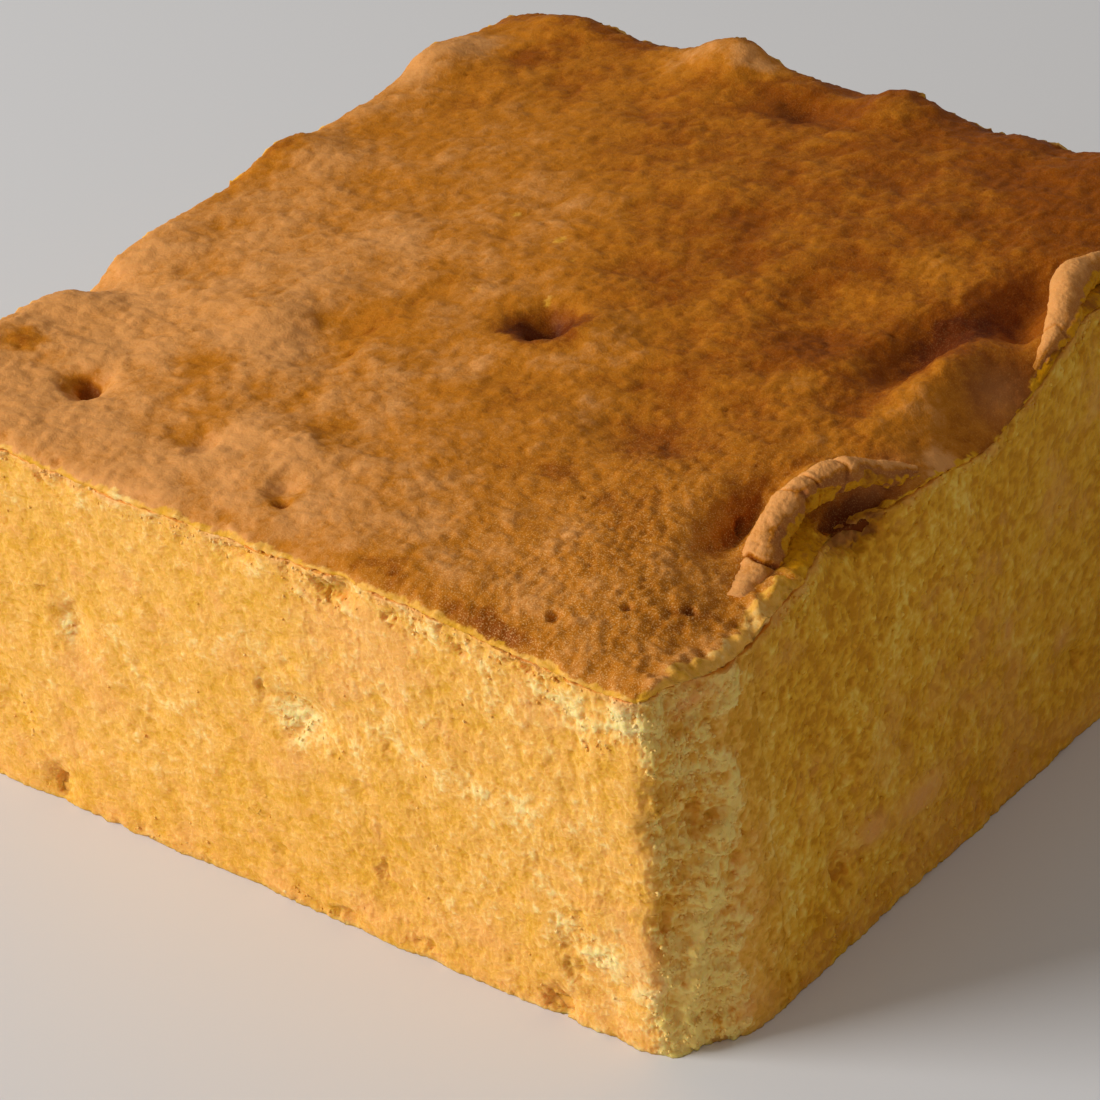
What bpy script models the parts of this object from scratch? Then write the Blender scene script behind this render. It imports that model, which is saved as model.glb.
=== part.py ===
"""Butter cake, 15 cm square, baked in a tin and turned out whole: one closed solid.

Run with blender --background --python part.py, or from Blender's text editor.
The cake rests on z = 0 with its middle over the origin.  The front face looks along -Y and the
right face along +X.  Every size below is in millimetres, and the finished mesh is in metres.
"""

from math import pi

import bmesh
import bpy
import numpy as np

MM = 0.001
NAME = "butter_cake"

# Driving dimensions
WIDTH = 150.0            # across the square, which is the inside of the tin
HALF = WIDTH / 2
RIM_HEIGHT = 65.0        # crust edge above the bottom, on average
CROWN = 2.4              # how far the middle stands above the shoulder
SHOULDER = 2.0           # how far the crust rolls down at its edge
SHOULDER_WIDTH = 5.0
CORNER_RADIUS = 5.0      # upright corners, from the tin
FOOT_INSET = 0.3         # the bottom edge is rounded in by this much
FOOT_HEIGHT = 3.0
RIM_BLEND = 11.0         # how far a bump of the rim reaches over the top
SIDE_BLEND = 16.0        # how far a shift of a side pulls the top with it
WAVE = 0.35              # slow unevenness of every surface
WAVE_LENGTHS = (41.0, 27.0, 17.0, 11.0)
WAVE_SEEDS = {"top": 3, "front": 11, "right": 12, "back": 13, "left": 14}

# Bumps and notches along each rim: place along the side, half width, height
FRONT_RIM = ((60, 18, -2.6), (-50, 18, 1.4))
RIGHT_RIM = ((0, 80, -2.0), (-59, 12, -3.4), (-30, 9, -1.0), (-1, 8, -2.4), (28, 12, 4.4))
BACK_RIM = (
    (0, 70, 1.2),
    (-58, 9, 2.0),
    (-24, 8, 4.6),
    (1, 5, -1.0),
    (9, 6, 2.0),
    (27, 8, -1.8),
    (40, 6, -1.6),
)
LEFT_RIM = ((0, 70, 1.4), (-52, 14, 1.6), (-31, 5, -3.6), (14, 6, 2.2), (52, 8, 3.2))

# Mounds and dents of the top: x, y, half width along x, half width along y, height
TOP_RELIEF = (
    (5, -11.5, 4.2, 3.8, -4.6),     # the deepest dent
    (13.5, -12, 6, 6, 1.6),         # the swelling beside it
    (-48, -56, 3.4, 3.0, -2.8),
    (0, -64, 2.6, 2.6, -1.6),
    (-19, -61, 2.6, 2.6, -1.4),
    (-23, -30, 8, 7, -1.4),
    (-36, -29, 8, 8, 1.4),
    (-8, -57, 10, 6, 0.9),
    (36, -25, 10, 9, -1.2),
    (42, 10, 9, 10, -1.6),
    (-4, 63, 5, 4, -2.0),
    (61, -38, 3.2, 8, -4.2),        # groove inside the near curl
    (67, -42, 5, 8, -2.4),          # and the low place that the curl rises from
    (57, 8, 4.0, 11, -3.0),         # groove inside the broad fold
    (63, 28, 4.6, 9, -5.0),         # groove inside the far curl
    (67.5, 22, 3.2, 4.5, -3.2),     # gap between the fold and the far curl
    (66, 2, 4.6, 11, 4.0),          # the broad fold itself
    (65.4, -33, 2.6, 9, 3.2),       # ridge that carries the near curl
)

# Craters and swellings of the front face: x, z, half width, half height, depth
FRONT_RELIEF = (
    (7, 37, 5.5, 3.6, 1.4),
    (-40, 38, 3.4, 5.0, 1.5),
    (50, 3, 3.0, 3.0, 1.6),
    (-52, 4, 3.0, 3.0, 1.4),
    (58, 9, 6.0, 7.0, 1.0),
    (20, 63, 3.0, 2.2, 1.2),
)

# Craters and swellings of the right face: y, z, half width, half height, depth
RIGHT_RELIEF = (
    (-42, 16, 2.4, 4.5, 1.4),
    (-38, 29, 2.4, 4.0, 1.2),
    (16, 15, 3.6, 2.6, 1.2),
    (-26, 15, 8.0, 3.0, -0.6),
    (-30, 64, 9.0, 6.0, 5.0),       # the wall leans in under the near curl
    (30, 68, 10.0, 6.0, 1.2),       # and a little under the far one
)

# The torn corner: how far it is cut back along each face, at the bottom and at the top
TORN_FRONT = (8.0, 1.5)
TORN_RIGHT = (10.0, 17.0)
TORN_DISH = 0.9          # the torn face is dished by this much
TORN_ZONE = 26.0         # the mesh makes room for it inside this distance of the corner

# Rolled edges of crust on the right rim: y, inset from the face, z and radius where one starts and ends
NEAR_CURL = ((-50, 5.0, 59.5, 3.6), (-14, 2.0, 63.5, 1.4))
NEAR_ARCH = (6.4, 6.3, 2.5)      # reach inward, rise and radius half way
FAR_CURL = ((13, 2.4, 63.0, 1.6), (43, 2.8, 63.0, 2.0))
FAR_ARCH = (2.2, 8.0, 2.7)
ARCH_LEAN_IN = 0.85      # under 1, a curl reaches furthest inward before the middle of its length
ARCH_LEAN_UP = 1.3       # over 1, it is highest after the middle
ARCH_SHARPNESS = 1.3     # over 1, its ends run along the face for longer
CURL_POINTS = 17

# Spacing of the mesh: zones of x, y and height, each with its end and its number of steps
X_ZONES = ((-4, 16), (14, 7), (50, 8), (HALF, 12))
Y_ZONES = ((-20, 17), (-4, 6), (HALF, 21))
LEVEL_ZONES = ((0.06, 2), (0.88, 7), (1.0, 3))

CRUST_COLOUR = (0.45, 0.17, 0.035)
CRUST_ROUGHNESS = 0.62


def stations(start, zones):
    """Places from start through each zone's end, evenly spaced inside a zone."""
    places = [np.array([start])]
    for end, steps in zones:
        places.append(np.linspace(places[-1][-1], end, steps + 1)[1:])
    return np.concatenate(places)


def bell(distance, half_width):
    """1 at the middle, falling smoothly to almost nothing at twice the half width."""
    return np.exp(-((distance / half_width) ** 2))


def bumps(along, rim):
    """Height that a list of bumps adds at each place along a rim."""
    return sum(height * bell(along - place, half) for place, half, height in rim)


def waves(u, v, seed):
    """Slow unevenness between -1 and 1: a few crossing sine waves with seeded directions."""
    rng = np.random.default_rng(seed)
    total = np.zeros_like(u)
    for length in WAVE_LENGTHS:
        turn = rng.uniform(0, pi)
        phase = rng.uniform(0, 2 * pi)
        total += np.sin((u * np.cos(turn) + v * np.sin(turn)) * 2 * pi / length + phase)
    return total / len(WAVE_LENGTHS)


def top_height(x, y):
    """Height of the top: crowned middle, rolled shoulder, bumps carried in from each rim, then relief."""
    height = RIM_HEIGHT + CROWN * (1 - (x / HALF) ** 2) * (1 - (y / HALF) ** 2)
    shoulder = np.full_like(x, SHOULDER)
    for along, across, rim in (
        (x, y + HALF, FRONT_RIM),
        (y, HALF - x, RIGHT_RIM),
        (x, HALF - y, BACK_RIM),
        (y, x + HALF, LEFT_RIM),
    ):
        height += bumps(along, rim) * bell(across, RIM_BLEND)
        shoulder *= 1 - np.exp(-2 * across / SHOULDER_WIDTH)
    for centre_x, centre_y, half_x, half_y, rise in TOP_RELIEF:
        height += rise * bell(x - centre_x, half_x) * bell(y - centre_y, half_y)
    return height + shoulder + WAVE * waves(x, y, WAVE_SEEDS["top"])


def side_shift(along, z, relief, side):
    """How far a side stands in from the flat plane of the tin, at each place and height."""
    shift = FOOT_INSET * np.clip(1 - z / FOOT_HEIGHT, 0, 1) ** 2
    shift = shift + WAVE * waves(along, z, WAVE_SEEDS[side])
    for place, centre_z, half_along, half_z, depth in relief:
        shift += depth * bell(along - place, half_along) * bell(z - centre_z, half_z)
    return shift


def round_corners(x, y):
    """Presses the three whole corners into quarter circles, leaving everything else where it is."""
    flat = HALF - CORNER_RADIUS
    over_x = np.maximum(np.abs(x) - flat, 0)
    over_y = np.maximum(np.abs(y) - flat, 0)
    inside = (over_x > 0) & (over_y > 0) & ~((x > 0) & (y < 0))
    scale = np.maximum(over_x, over_y) / np.where(inside, np.hypot(over_x, over_y), 1)
    new_x = np.where(inside, np.sign(x) * (flat + over_x * scale), x)
    new_y = np.where(inside, np.sign(y) * (flat + over_y * scale), y)
    return new_x, new_y


def ease(value):
    """0 at 0, 1 at 1, level at both ends."""
    return value * value * (3 - 2 * value)


def torn_outline(turn, z):
    """Where a point of the tin's outline has gone.

    turn is its distance round from the old corner, plus to the right.  Between two lines down the faces
    the outline is swapped for a slanting strip, dished in its middle.
    """
    level = np.clip(z / RIM_HEIGHT, 0, 1)
    cut_front = TORN_FRONT[0] + (TORN_FRONT[1] - TORN_FRONT[0]) * level
    cut_right = TORN_RIGHT[0] + (TORN_RIGHT[1] - TORN_RIGHT[0]) * level
    along = (turn + cut_front) / (cut_front + cut_right)
    torn = (along > 0) & (along < 1)
    dish = TORN_DISH * np.sin(pi * np.clip(along, 0, 1))
    diagonal = np.hypot(cut_front, cut_right)
    from_right = cut_front * (1 - along) + dish * cut_right / diagonal
    from_front = cut_right * along + dish * cut_front / diagonal
    from_right = np.where(torn, from_right, np.maximum(-turn, 0))
    from_front = np.where(torn, from_front, np.maximum(turn, 0))
    return HALF - from_right, from_front - HALF


def tear_corner(x, y, z):
    """Swaps the front right corner for the torn strip, and eases the shift out over the torn zone."""
    near_right = ease(np.clip(1 - (HALF - x) / TORN_ZONE, 0, 1))
    near_front = ease(np.clip(1 - (y + HALF) / TORN_ZONE, 0, 1))
    front_x, front_y = torn_outline(np.maximum(x - HALF, -TORN_ZONE), z)
    right_x, right_y = torn_outline(np.minimum(y + HALF, TORN_ZONE), z)
    corner_x, corner_y = torn_outline(np.zeros_like(x), z)
    front_x = front_x - np.maximum(x, HALF - TORN_ZONE)
    right_y = right_y - np.minimum(y, TORN_ZONE - HALF)
    both = near_front * near_right
    shift_x = front_x * near_front + (right_x - HALF) * near_right - (corner_x - HALF) * both
    shift_y = (front_y + HALF) * near_front + right_y * near_right - (corner_y + HALF) * both
    return x + shift_x, y + shift_y


def shape_block(points):
    """Moves the block's points, given as x, y and a level from 0 to 1, to the cake's surface."""
    x, y, level = points.T
    z = level * top_height(x, y)
    front = side_shift(x, z, FRONT_RELIEF, "front") * np.clip(1 - (y + HALF) / SIDE_BLEND, 0, 1)
    right = side_shift(y, z, RIGHT_RELIEF, "right") * np.clip(1 - (HALF - x) / SIDE_BLEND, 0, 1)
    back = side_shift(x, z, (), "back") * np.clip(1 - (HALF - y) / SIDE_BLEND, 0, 1)
    left = side_shift(y, z, (), "left") * np.clip(1 - (x + HALF) / SIDE_BLEND, 0, 1)
    x, y = round_corners(x, y)
    x, y = tear_corner(x, y, z)
    return np.stack([x - right + left, y + front - back, z], axis=1)


def make_material(name, colour, roughness):
    """A Principled material from its colour and roughness."""
    material = bpy.data.materials.new(name)
    material.use_nodes = True
    shader = material.node_tree.nodes["Principled BSDF"]
    shader.inputs["Base Color"].default_value = (*colour, 1.0)
    shader.inputs["Roughness"].default_value = roughness
    shader.inputs["Metallic"].default_value = 0.0
    return material


def cut_block(block):
    """Cuts a box along every station of x, y and level, then joins its bottom into one face."""
    zones = (stations(-HALF, X_ZONES), stations(-HALF, Y_ZONES), stations(0.0, LEVEL_ZONES))
    for axis, places in enumerate(zones):
        normal = [0, 0, 0]
        normal[axis] = 1
        for place in places[1:-1]:
            geometry = block.verts[:] + block.edges[:] + block.faces[:]
            point = [place * n for n in normal]
            bmesh.ops.bisect_plane(block, geom=geometry, plane_co=point, plane_no=normal, dist=1e-5)
    bottom = [face for face in block.faces if face.calc_center_median().z < 1e-5]
    bmesh.ops.dissolve_faces(block, faces=bottom, use_verts=False)


def make_body(collection):
    """The cake without its curls: a box primitive, cut into a grid and shaped."""
    block = bmesh.new()
    bmesh.ops.create_cube(block, size=1.0)
    for vertex in block.verts:
        vertex.co = (vertex.co.x * WIDTH, vertex.co.y * WIDTH, vertex.co.z + 0.5)
    cut_block(block)
    shaped = shape_block(np.array([vertex.co[:] for vertex in block.verts]))
    for vertex, place in zip(block.verts, shaped * MM):
        vertex.co = place
    for face in block.faces:
        face.smooth = True
    mesh = bpy.data.meshes.new(NAME)
    block.to_mesh(mesh)
    block.free()
    body = bpy.data.objects.new(NAME, mesh)
    collection.objects.link(body)
    return body


def curl_path(ends, arch):
    """Middle line and radius of a rolled edge: it leaves the face, arches inward and up, and comes back."""
    first, last = (np.array(end, dtype=float) for end in ends)
    reach, rise, radius = arch
    run = np.linspace(0, 1, CURL_POINTS)
    y, inset, z, end_radius = (first[:, None] + (last - first)[:, None] * run)
    inward = reach * np.sin(pi * run ** ARCH_LEAN_IN) ** ARCH_SHARPNESS
    upward = rise * np.sin(pi * run ** ARCH_LEAN_UP)
    swell = np.sin(pi * run)
    path = np.stack([HALF - inset - inward, y, z + upward], axis=1)
    return path, end_radius + (radius - end_radius) * swell


def make_curl(name, ends, arch, collection):
    """One rolled edge of crust, as a bevelled curve made into a closed mesh."""
    path, radii = curl_path(ends, arch)
    line = bpy.data.curves.new(name, "CURVE")
    line.dimensions = "3D"
    line.bevel_depth = MM            # one millimetre, which each point's radius then multiplies
    line.bevel_resolution = 2
    line.use_fill_caps = True
    spline = line.splines.new("POLY")
    spline.points.add(len(path) - 1)
    for point, place, radius in zip(spline.points, path * MM, radii):
        point.co = (*place, 1.0)
        point.radius = radius
    tube = bpy.data.objects.new(name, line)
    collection.objects.link(tube)
    bpy.context.view_layer.update()
    evaluated = tube.evaluated_get(bpy.context.evaluated_depsgraph_get())
    mesh = bpy.data.meshes.new_from_object(evaluated)
    welded = bmesh.new()
    welded.from_mesh(mesh)
    bmesh.ops.remove_doubles(welded, verts=welded.verts[:], dist=1e-6)
    welded.to_mesh(mesh)
    welded.free()
    solid = bpy.data.objects.new(name + "_solid", mesh)
    solid.matrix_world = tube.matrix_world
    collection.objects.link(solid)
    bpy.data.objects.remove(tube)
    return solid


def fuse(body, collection):
    """Joins everything in the collection to the body with one union, and applies it."""
    union = body.modifiers.new("curls", "BOOLEAN")
    union.operation = "UNION"
    union.operand_type = "COLLECTION"
    union.collection = collection
    union.solver = "MANIFOLD"
    bpy.context.view_layer.update()
    evaluated = body.evaluated_get(bpy.context.evaluated_depsgraph_get())
    joined = bpy.data.meshes.new_from_object(evaluated)
    body.modifiers.clear()
    body.data = joined
    for piece in list(collection.objects):
        bpy.data.objects.remove(piece)
    bpy.data.collections.remove(collection)


def centre(body):
    """Puts the middle of the bounding box over the origin and the bottom on z = 0."""
    mesh = body.data
    places = np.empty(len(mesh.vertices) * 3)
    mesh.vertices.foreach_get("co", places)
    places = places.reshape(-1, 3)
    low = places.min(axis=0)
    high = places.max(axis=0)
    places -= ((low[0] + high[0]) / 2, (low[1] + high[1]) / 2, low[2])
    mesh.vertices.foreach_set("co", places.ravel())
    mesh.update()


def main():
    for old in list(bpy.data.objects):
        bpy.data.objects.remove(old)
    cake = bpy.data.collections.new(NAME)
    curls = bpy.data.collections.new("curls")
    for collection in (cake, curls):
        bpy.context.scene.collection.children.link(collection)
    body = make_body(cake)
    make_curl("near_curl", NEAR_CURL, NEAR_ARCH, curls)
    make_curl("far_curl", FAR_CURL, FAR_ARCH, curls)
    fuse(body, curls)
    body.data.materials.append(make_material("crust", CRUST_COLOUR, CRUST_ROUGHNESS))
    centre(body)


main()
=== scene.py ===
# %% [markdown]
# # A butter cake
#
# A square butter cake, fresh out of its tin: a browned, leathery top, four sides of open golden crumb,
# a rim of crust that has rolled over at one side, and one upright corner that tore away with the tin.
# The lesson loads the plain solid of the cake, and dresses it with finer surfaces that keep its form.
# Each step first says what a part is on the real cake, and then makes it with arrays of points.

import bpy
import numpy as np
from mathutils import Matrix, Vector


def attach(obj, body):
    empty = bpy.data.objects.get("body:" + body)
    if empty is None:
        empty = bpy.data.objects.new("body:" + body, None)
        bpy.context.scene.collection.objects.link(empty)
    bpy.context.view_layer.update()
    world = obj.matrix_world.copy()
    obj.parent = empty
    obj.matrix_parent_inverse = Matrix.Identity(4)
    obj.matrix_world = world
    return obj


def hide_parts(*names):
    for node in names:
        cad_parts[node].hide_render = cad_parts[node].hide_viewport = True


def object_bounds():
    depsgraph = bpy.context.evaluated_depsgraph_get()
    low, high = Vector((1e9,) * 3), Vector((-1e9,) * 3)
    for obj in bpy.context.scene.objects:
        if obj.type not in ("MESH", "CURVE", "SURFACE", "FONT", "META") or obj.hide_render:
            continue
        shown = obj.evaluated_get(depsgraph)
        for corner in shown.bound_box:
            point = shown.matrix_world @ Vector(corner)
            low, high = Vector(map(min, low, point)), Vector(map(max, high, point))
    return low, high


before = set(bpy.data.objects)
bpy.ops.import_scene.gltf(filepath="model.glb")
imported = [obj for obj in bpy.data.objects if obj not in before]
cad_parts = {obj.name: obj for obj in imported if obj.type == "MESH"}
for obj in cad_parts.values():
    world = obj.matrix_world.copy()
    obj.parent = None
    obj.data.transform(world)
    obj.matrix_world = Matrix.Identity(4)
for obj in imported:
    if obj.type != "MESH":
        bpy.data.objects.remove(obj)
solid_box = [list(corner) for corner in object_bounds()]
print("the solid's box, in metres:", solid_box)

# %% [markdown]
# ## Sizes
#
# Everything below is in millimetres until a mesh is made.  The numbers are the cake's own: the tin's
# width, the height of the crust's edge, and how far the middle is crowned.  The tables give the places
# of its marks, since a cake is recognised by its dents and folds as much as by its colour.  A mark is a
# place, a half width along each direction and a height, and it is spread by a bell curve.

# %% Sizes of the cake
MM = 0.001
HALF = 75.0                 # half the tin's width
RIM_HEIGHT = 65.0
CROWN = 2.4                 # how far the middle of the top stands over its rim
SHOULDER = 2.0              # how far the top falls off close to its rim
SHOULDER_WIDTH = 5.0
CORNER_RADIUS = 5.0
FOOT_INSET = 0.3
FOOT_HEIGHT = 3.0
RIM_BLEND = 11.0            # how far a rim's bumps are felt over the top
SIDE_BLEND = 16.0           # how far a side's craters are felt inside
WAVE = 0.35                 # height of the slow waves
BOX_MIDDLE = np.array([0.343, -0.007, 0.0])     # middle of the cake's box, seen from the middle of its tin
TORN_FRONT = (8.0, 1.5)     # reach of the tear along the front, at the foot and at the rim
TORN_RIGHT = (10.0, 17.0)   # and along the right side
TORN_DISH = 0.9             # depth of its hollow middle
TORN_ZONE = 26.0            # how far inside the tear still moves points

# A rim's rows: place along the rim, half width, height.
FRONT_RIM = ((60, 18, -2.6), (-50, 18, 1.4))
RIGHT_RIM = ((0, 80, -2.0), (-59, 12, -3.4), (-30, 9, -1.0), (-1, 8, -2.4), (28, 12, 4.4))
BACK_RIM = (
    (0, 70, 1.2), (-58, 9, 2.0), (-24, 8, 4.6), (1, 5, -1.0), (9, 6, 2.0), (27, 8, -1.8), (40, 6, -1.6),
)
LEFT_RIM = ((0, 70, 1.4), (-52, 14, 1.6), (-31, 5, -3.6), (14, 6, 2.2), (52, 8, 3.2))

# Rows of the reliefs: place, two half sizes, and height on the top or depth in a side.
TOP_RELIEF = (
    (5, -11.5, 4.2, 3.8, -4.6),     # the deepest dent
    (13.5, -12, 6, 6, 1.6),         # the swelling beside it
    (-48, -56, 3.4, 3.0, -2.8),
    (0, -64, 2.6, 2.6, -1.6),
    (-19, -61, 2.6, 2.6, -1.4),
    (-23, -30, 8, 7, -1.4),
    (-36, -29, 8, 8, 1.4),
    (-8, -57, 10, 6, 0.9),
    (36, -25, 10, 9, -1.2),
    (42, 10, 9, 10, -1.6),
    (-4, 63, 5, 4, -2.0),
    (61, -38, 3.2, 8, -4.2),        # groove inside the near curl
    (67, -42, 5, 8, -2.4),          # and the low place that the curl rises from
    (57, 8, 4.0, 11, -3.0),         # groove inside the broad fold
    (63, 28, 4.6, 9, -5.0),         # groove inside the far curl
    (67.5, 22, 3.2, 4.5, -3.2),     # gap between the fold and the far curl
    (66, 2, 4.6, 11, 4.0),          # the broad fold itself
    (65.4, -33, 2.6, 9, 3.2),       # ridge that carries the near curl
)

FRONT_RELIEF = (
    (7, 37, 5.5, 3.6, 1.4),
    (-40, 38, 3.4, 5.0, 1.5),
    (50, 3, 3.0, 3.0, 1.6),
    (-52, 4, 3.0, 3.0, 1.4),
    (58, 9, 6.0, 7.0, 1.0),
    (20, 63, 3.0, 2.2, 1.2),
)

RIGHT_RELIEF = (
    (-42, 16, 2.4, 4.5, 1.4),
    (-38, 29, 2.4, 4.0, 1.2),
    (16, 15, 3.6, 2.6, 1.2),
    (-26, 15, 8.0, 3.0, -0.6),
    (-30, 64, 9.0, 6.0, 5.0),       # the wall leans in under the near curl
    (30, 68, 10.0, 6.0, 1.2),
)
print("tin:", 2 * HALF, "mm wide, rim of the crust at", RIM_HEIGHT, "mm")

# %% [markdown]
# Two curves do nearly all the shaping below: a bell, for bumps and dents, and a smooth step, for masks.

# %% Two curves
def bell(distance, half_width):
    """e to the minus (distance / half width) squared: 1 in the middle, near 0 at twice the half width."""
    return np.exp(-((distance / half_width) ** 2))


def smooth(value, start, end):
    """0 below start, 1 above end, and an S-shaped ramp (3t^2 - 2t^3) between them."""
    t = np.clip((value - start) / (end - start), 0, 1)
    return t * t * (3 - 2 * t)


# %% [markdown]
# ## The form
#
# The form is a square block whose surface is moved by formulas: the top gets a crown, a shoulder and the
# marks above, each side gets slow waves and shallow craters, three corners are pressed round, and the
# fourth is swapped for a slanting torn strip.  It could be sculpted by hand, but a formula can be read,
# changed and worked out again.  One function moves the plan, so that the top and the sides agree to the
# last digit wherever they meet.

# %% Height of the top, and the shift of the sides
def bumps(along, rim):
    """Sum of the bell curves of a rim's bumps."""
    return sum(height * bell(along - place, half) for place, half, height in rim)


def waves(u, v, seed):
    """Mean of four sine waves of 41, 27, 17 and 11 mm that cross at seeded angles."""
    rng = np.random.default_rng(seed)
    total = np.zeros_like(u)
    for length in (41.0, 27.0, 17.0, 11.0):
        turn = rng.uniform(0, np.pi)
        phase = rng.uniform(0, 2 * np.pi)
        total += np.sin((u * np.cos(turn) + v * np.sin(turn)) * 2 * np.pi / length + phase)
    return total / 4


def top_height(x, y):
    """Rim height, a crown (1 - x^2)(1 - y^2), a shoulder that falls off at each rim, bumps and marks."""
    height = RIM_HEIGHT + CROWN * (1 - (x / HALF) ** 2) * (1 - (y / HALF) ** 2)
    shoulder = np.full_like(x, SHOULDER)
    for along, across, rim in (
        (x, y + HALF, FRONT_RIM),
        (y, HALF - x, RIGHT_RIM),
        (x, HALF - y, BACK_RIM),
        (y, x + HALF, LEFT_RIM),
    ):
        height = height + bumps(along, rim) * bell(across, RIM_BLEND)
        shoulder = shoulder * (1 - np.exp(-2 * np.maximum(across, 0) / SHOULDER_WIDTH))
    for centre_x, centre_y, half_x, half_y, rise in TOP_RELIEF:
        height = height + rise * bell(x - centre_x, half_x) * bell(y - centre_y, half_y)
    return height + shoulder + WAVE * waves(x, y, 3)


def side_shift(along, z, relief, seed):
    """How far a side stands in from the tin's plane: a rounded foot, slow waves, and bell-shaped craters."""
    shift = FOOT_INSET * np.clip(1 - z / FOOT_HEIGHT, 0, 1) ** 2 + WAVE * waves(along, z, seed)
    for place, centre_z, half_along, half_z, depth in relief:
        shift = shift + depth * bell(along - place, half_along) * bell(z - centre_z, half_z)
    return shift


def round_corners(x, y):
    """Presses three corners into quarter circles by rescaling what lies past the corner's centre."""
    flat = HALF - CORNER_RADIUS
    over_x = np.maximum(np.abs(x) - flat, 0)
    over_y = np.maximum(np.abs(y) - flat, 0)
    inside = (over_x > 0) & (over_y > 0) & ~((x > 0) & (y < 0))
    scale = np.maximum(over_x, over_y) / np.where(inside, np.hypot(over_x, over_y), 1)
    new_x = np.where(inside, np.sign(x) * (flat + over_x * scale), x)
    new_y = np.where(inside, np.sign(y) * (flat + over_y * scale), y)
    return new_x, new_y


def corner_cuts(z):
    """How far the tear reaches along the front and along the right side, at a height."""
    level = np.clip(z / RIM_HEIGHT, 0, 1)
    cut_front = TORN_FRONT[0] + (TORN_FRONT[1] - TORN_FRONT[0]) * level
    cut_right = TORN_RIGHT[0] + (TORN_RIGHT[1] - TORN_RIGHT[0]) * level
    ragged = 0.45 * np.sin(z / 2.9) + 0.30 * np.sin(z / 1.27 + 2) + 0.2 * np.sin(z / 0.71)
    return cut_front + ragged, cut_right + 1.6 * ragged     # the right edge tears more roughly


def torn_outline(turn, z):
    """Where the tin's outline has gone at a distance round from the old corner, plus to the right.

    Between the two cuts the outline is a straight strip, dished in its middle by half a sine wave.
    """
    cut_front, cut_right = corner_cuts(z)
    along = (turn + cut_front) / (cut_front + cut_right)
    torn = (along > 0) & (along < 1)
    dish = TORN_DISH * np.sin(np.pi * np.clip(along, 0, 1))
    diagonal = np.hypot(cut_front, cut_right)
    from_right = cut_front * (1 - along) + dish * cut_right / diagonal
    from_front = cut_right * along + dish * cut_front / diagonal
    from_right = np.where(torn, from_right, np.maximum(-turn, 0))
    from_front = np.where(torn, from_front, np.maximum(turn, 0))
    return HALF - from_right, from_front - HALF


WEAR = (-3.0, -1.5, 0.0, 1.5, 3.0)


def worn_outline(turn, z):
    """The torn outline with its two edges worn round: the mean of five points, 1.5 mm apart."""
    places = [torn_outline(turn + step, z) for step in WEAR]
    return np.mean([x for x, _ in places], axis=0), np.mean([y for _, y in places], axis=0)


def tear_corner(x, y, z):
    """Swaps the front right corner for the torn strip, and eases the shift out over the torn zone.

    The shift of an inner point is the front border's, plus the right border's, less the corner's which
    both contain, each faded by its distance: the surface stretched between two bent edges.
    """
    near_right = smooth(1 - (HALF - x) / TORN_ZONE, 0, 1)
    near_front = smooth(1 - (y + HALF) / TORN_ZONE, 0, 1)
    front_x, front_y = worn_outline(np.maximum(x - HALF, -TORN_ZONE), z)
    right_x, right_y = worn_outline(np.minimum(y + HALF, TORN_ZONE), z)
    corner_x, corner_y = worn_outline(np.zeros_like(x), z)
    front_x = front_x - np.maximum(x, HALF - TORN_ZONE)
    right_y = right_y - np.minimum(y, TORN_ZONE - HALF)
    both = near_front * near_right
    shift_x = front_x * near_front + (right_x - HALF) * near_right - (corner_x - HALF) * both
    shift_y = (front_y + HALF) * near_front + right_y * near_right - (corner_y + HALF) * both
    return x + shift_x, y + shift_y


def shape(x, y, z):
    """Moves points of the square block, whose heights are already final, to the cake's plan."""
    front = side_shift(x, z, FRONT_RELIEF, 11) * np.clip(1 - (y + HALF) / SIDE_BLEND, 0, 1)
    right = side_shift(y, z, RIGHT_RELIEF, 12) * np.clip(1 - (HALF - x) / SIDE_BLEND, 0, 1)
    back = side_shift(x, z, (), 13) * np.clip(1 - (HALF - y) / SIDE_BLEND, 0, 1)
    left = side_shift(y, z, (), 14) * np.clip(1 - (x + HALF) / SIDE_BLEND, 0, 1)
    new_x, new_y = tear_corner(*round_corners(x, y), z)
    return np.stack([new_x - right + left, new_y + front - back, z], axis=-1)


middle = np.zeros(1)
print("height in the middle of the top:", top_height(middle, middle).round(1)[0], "mm")

# %% [markdown]
# ## Grain
#
# Crumb is a foam.  Its walls break into grains of half a millimetre, and its bubbles leave pits of one or
# two.  Both could be a displacement texture, but grain worked out for each point is real relief, which
# any program can read.  Random numbers fixed to a lattice give both: blended smoothly they are noise, and
# used as the centres of small balls they are pits and grains.  The lattice lies in space and not on a
# surface, so two surfaces that meet get the same grain at the seam.  It is tilted against the cake,
# because rows that run along a flat side would show on it as a weave.

# %% Random numbers on a lattice
CELL_FACTORS = np.array([374761393, 668265263, 2147483629])
TILT = np.array([           # turns points about a slanting axis
    [0.36, 0.48, -0.80],
    [-0.80, 0.60, 0.00],
    [0.48, 0.64, 0.60],
])


def lattice_random(cells, seed):
    """A number from 0 to 1 for each whole-number cell: its coordinates mixed by odd factors and shifts."""
    mixed = cells.astype(np.int64) * CELL_FACTORS
    value = mixed[..., 0] + mixed[..., 1] + mixed[..., 2] + seed * 362437
    value = (value ^ (value >> 13)) & 0xFFFFFFFF
    value = (value * 1274126177) & 0xFFFFFFFF
    value = (value ^ (value >> 16)) & 0xFFFFFF
    return value / 0xFFFFFF


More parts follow.
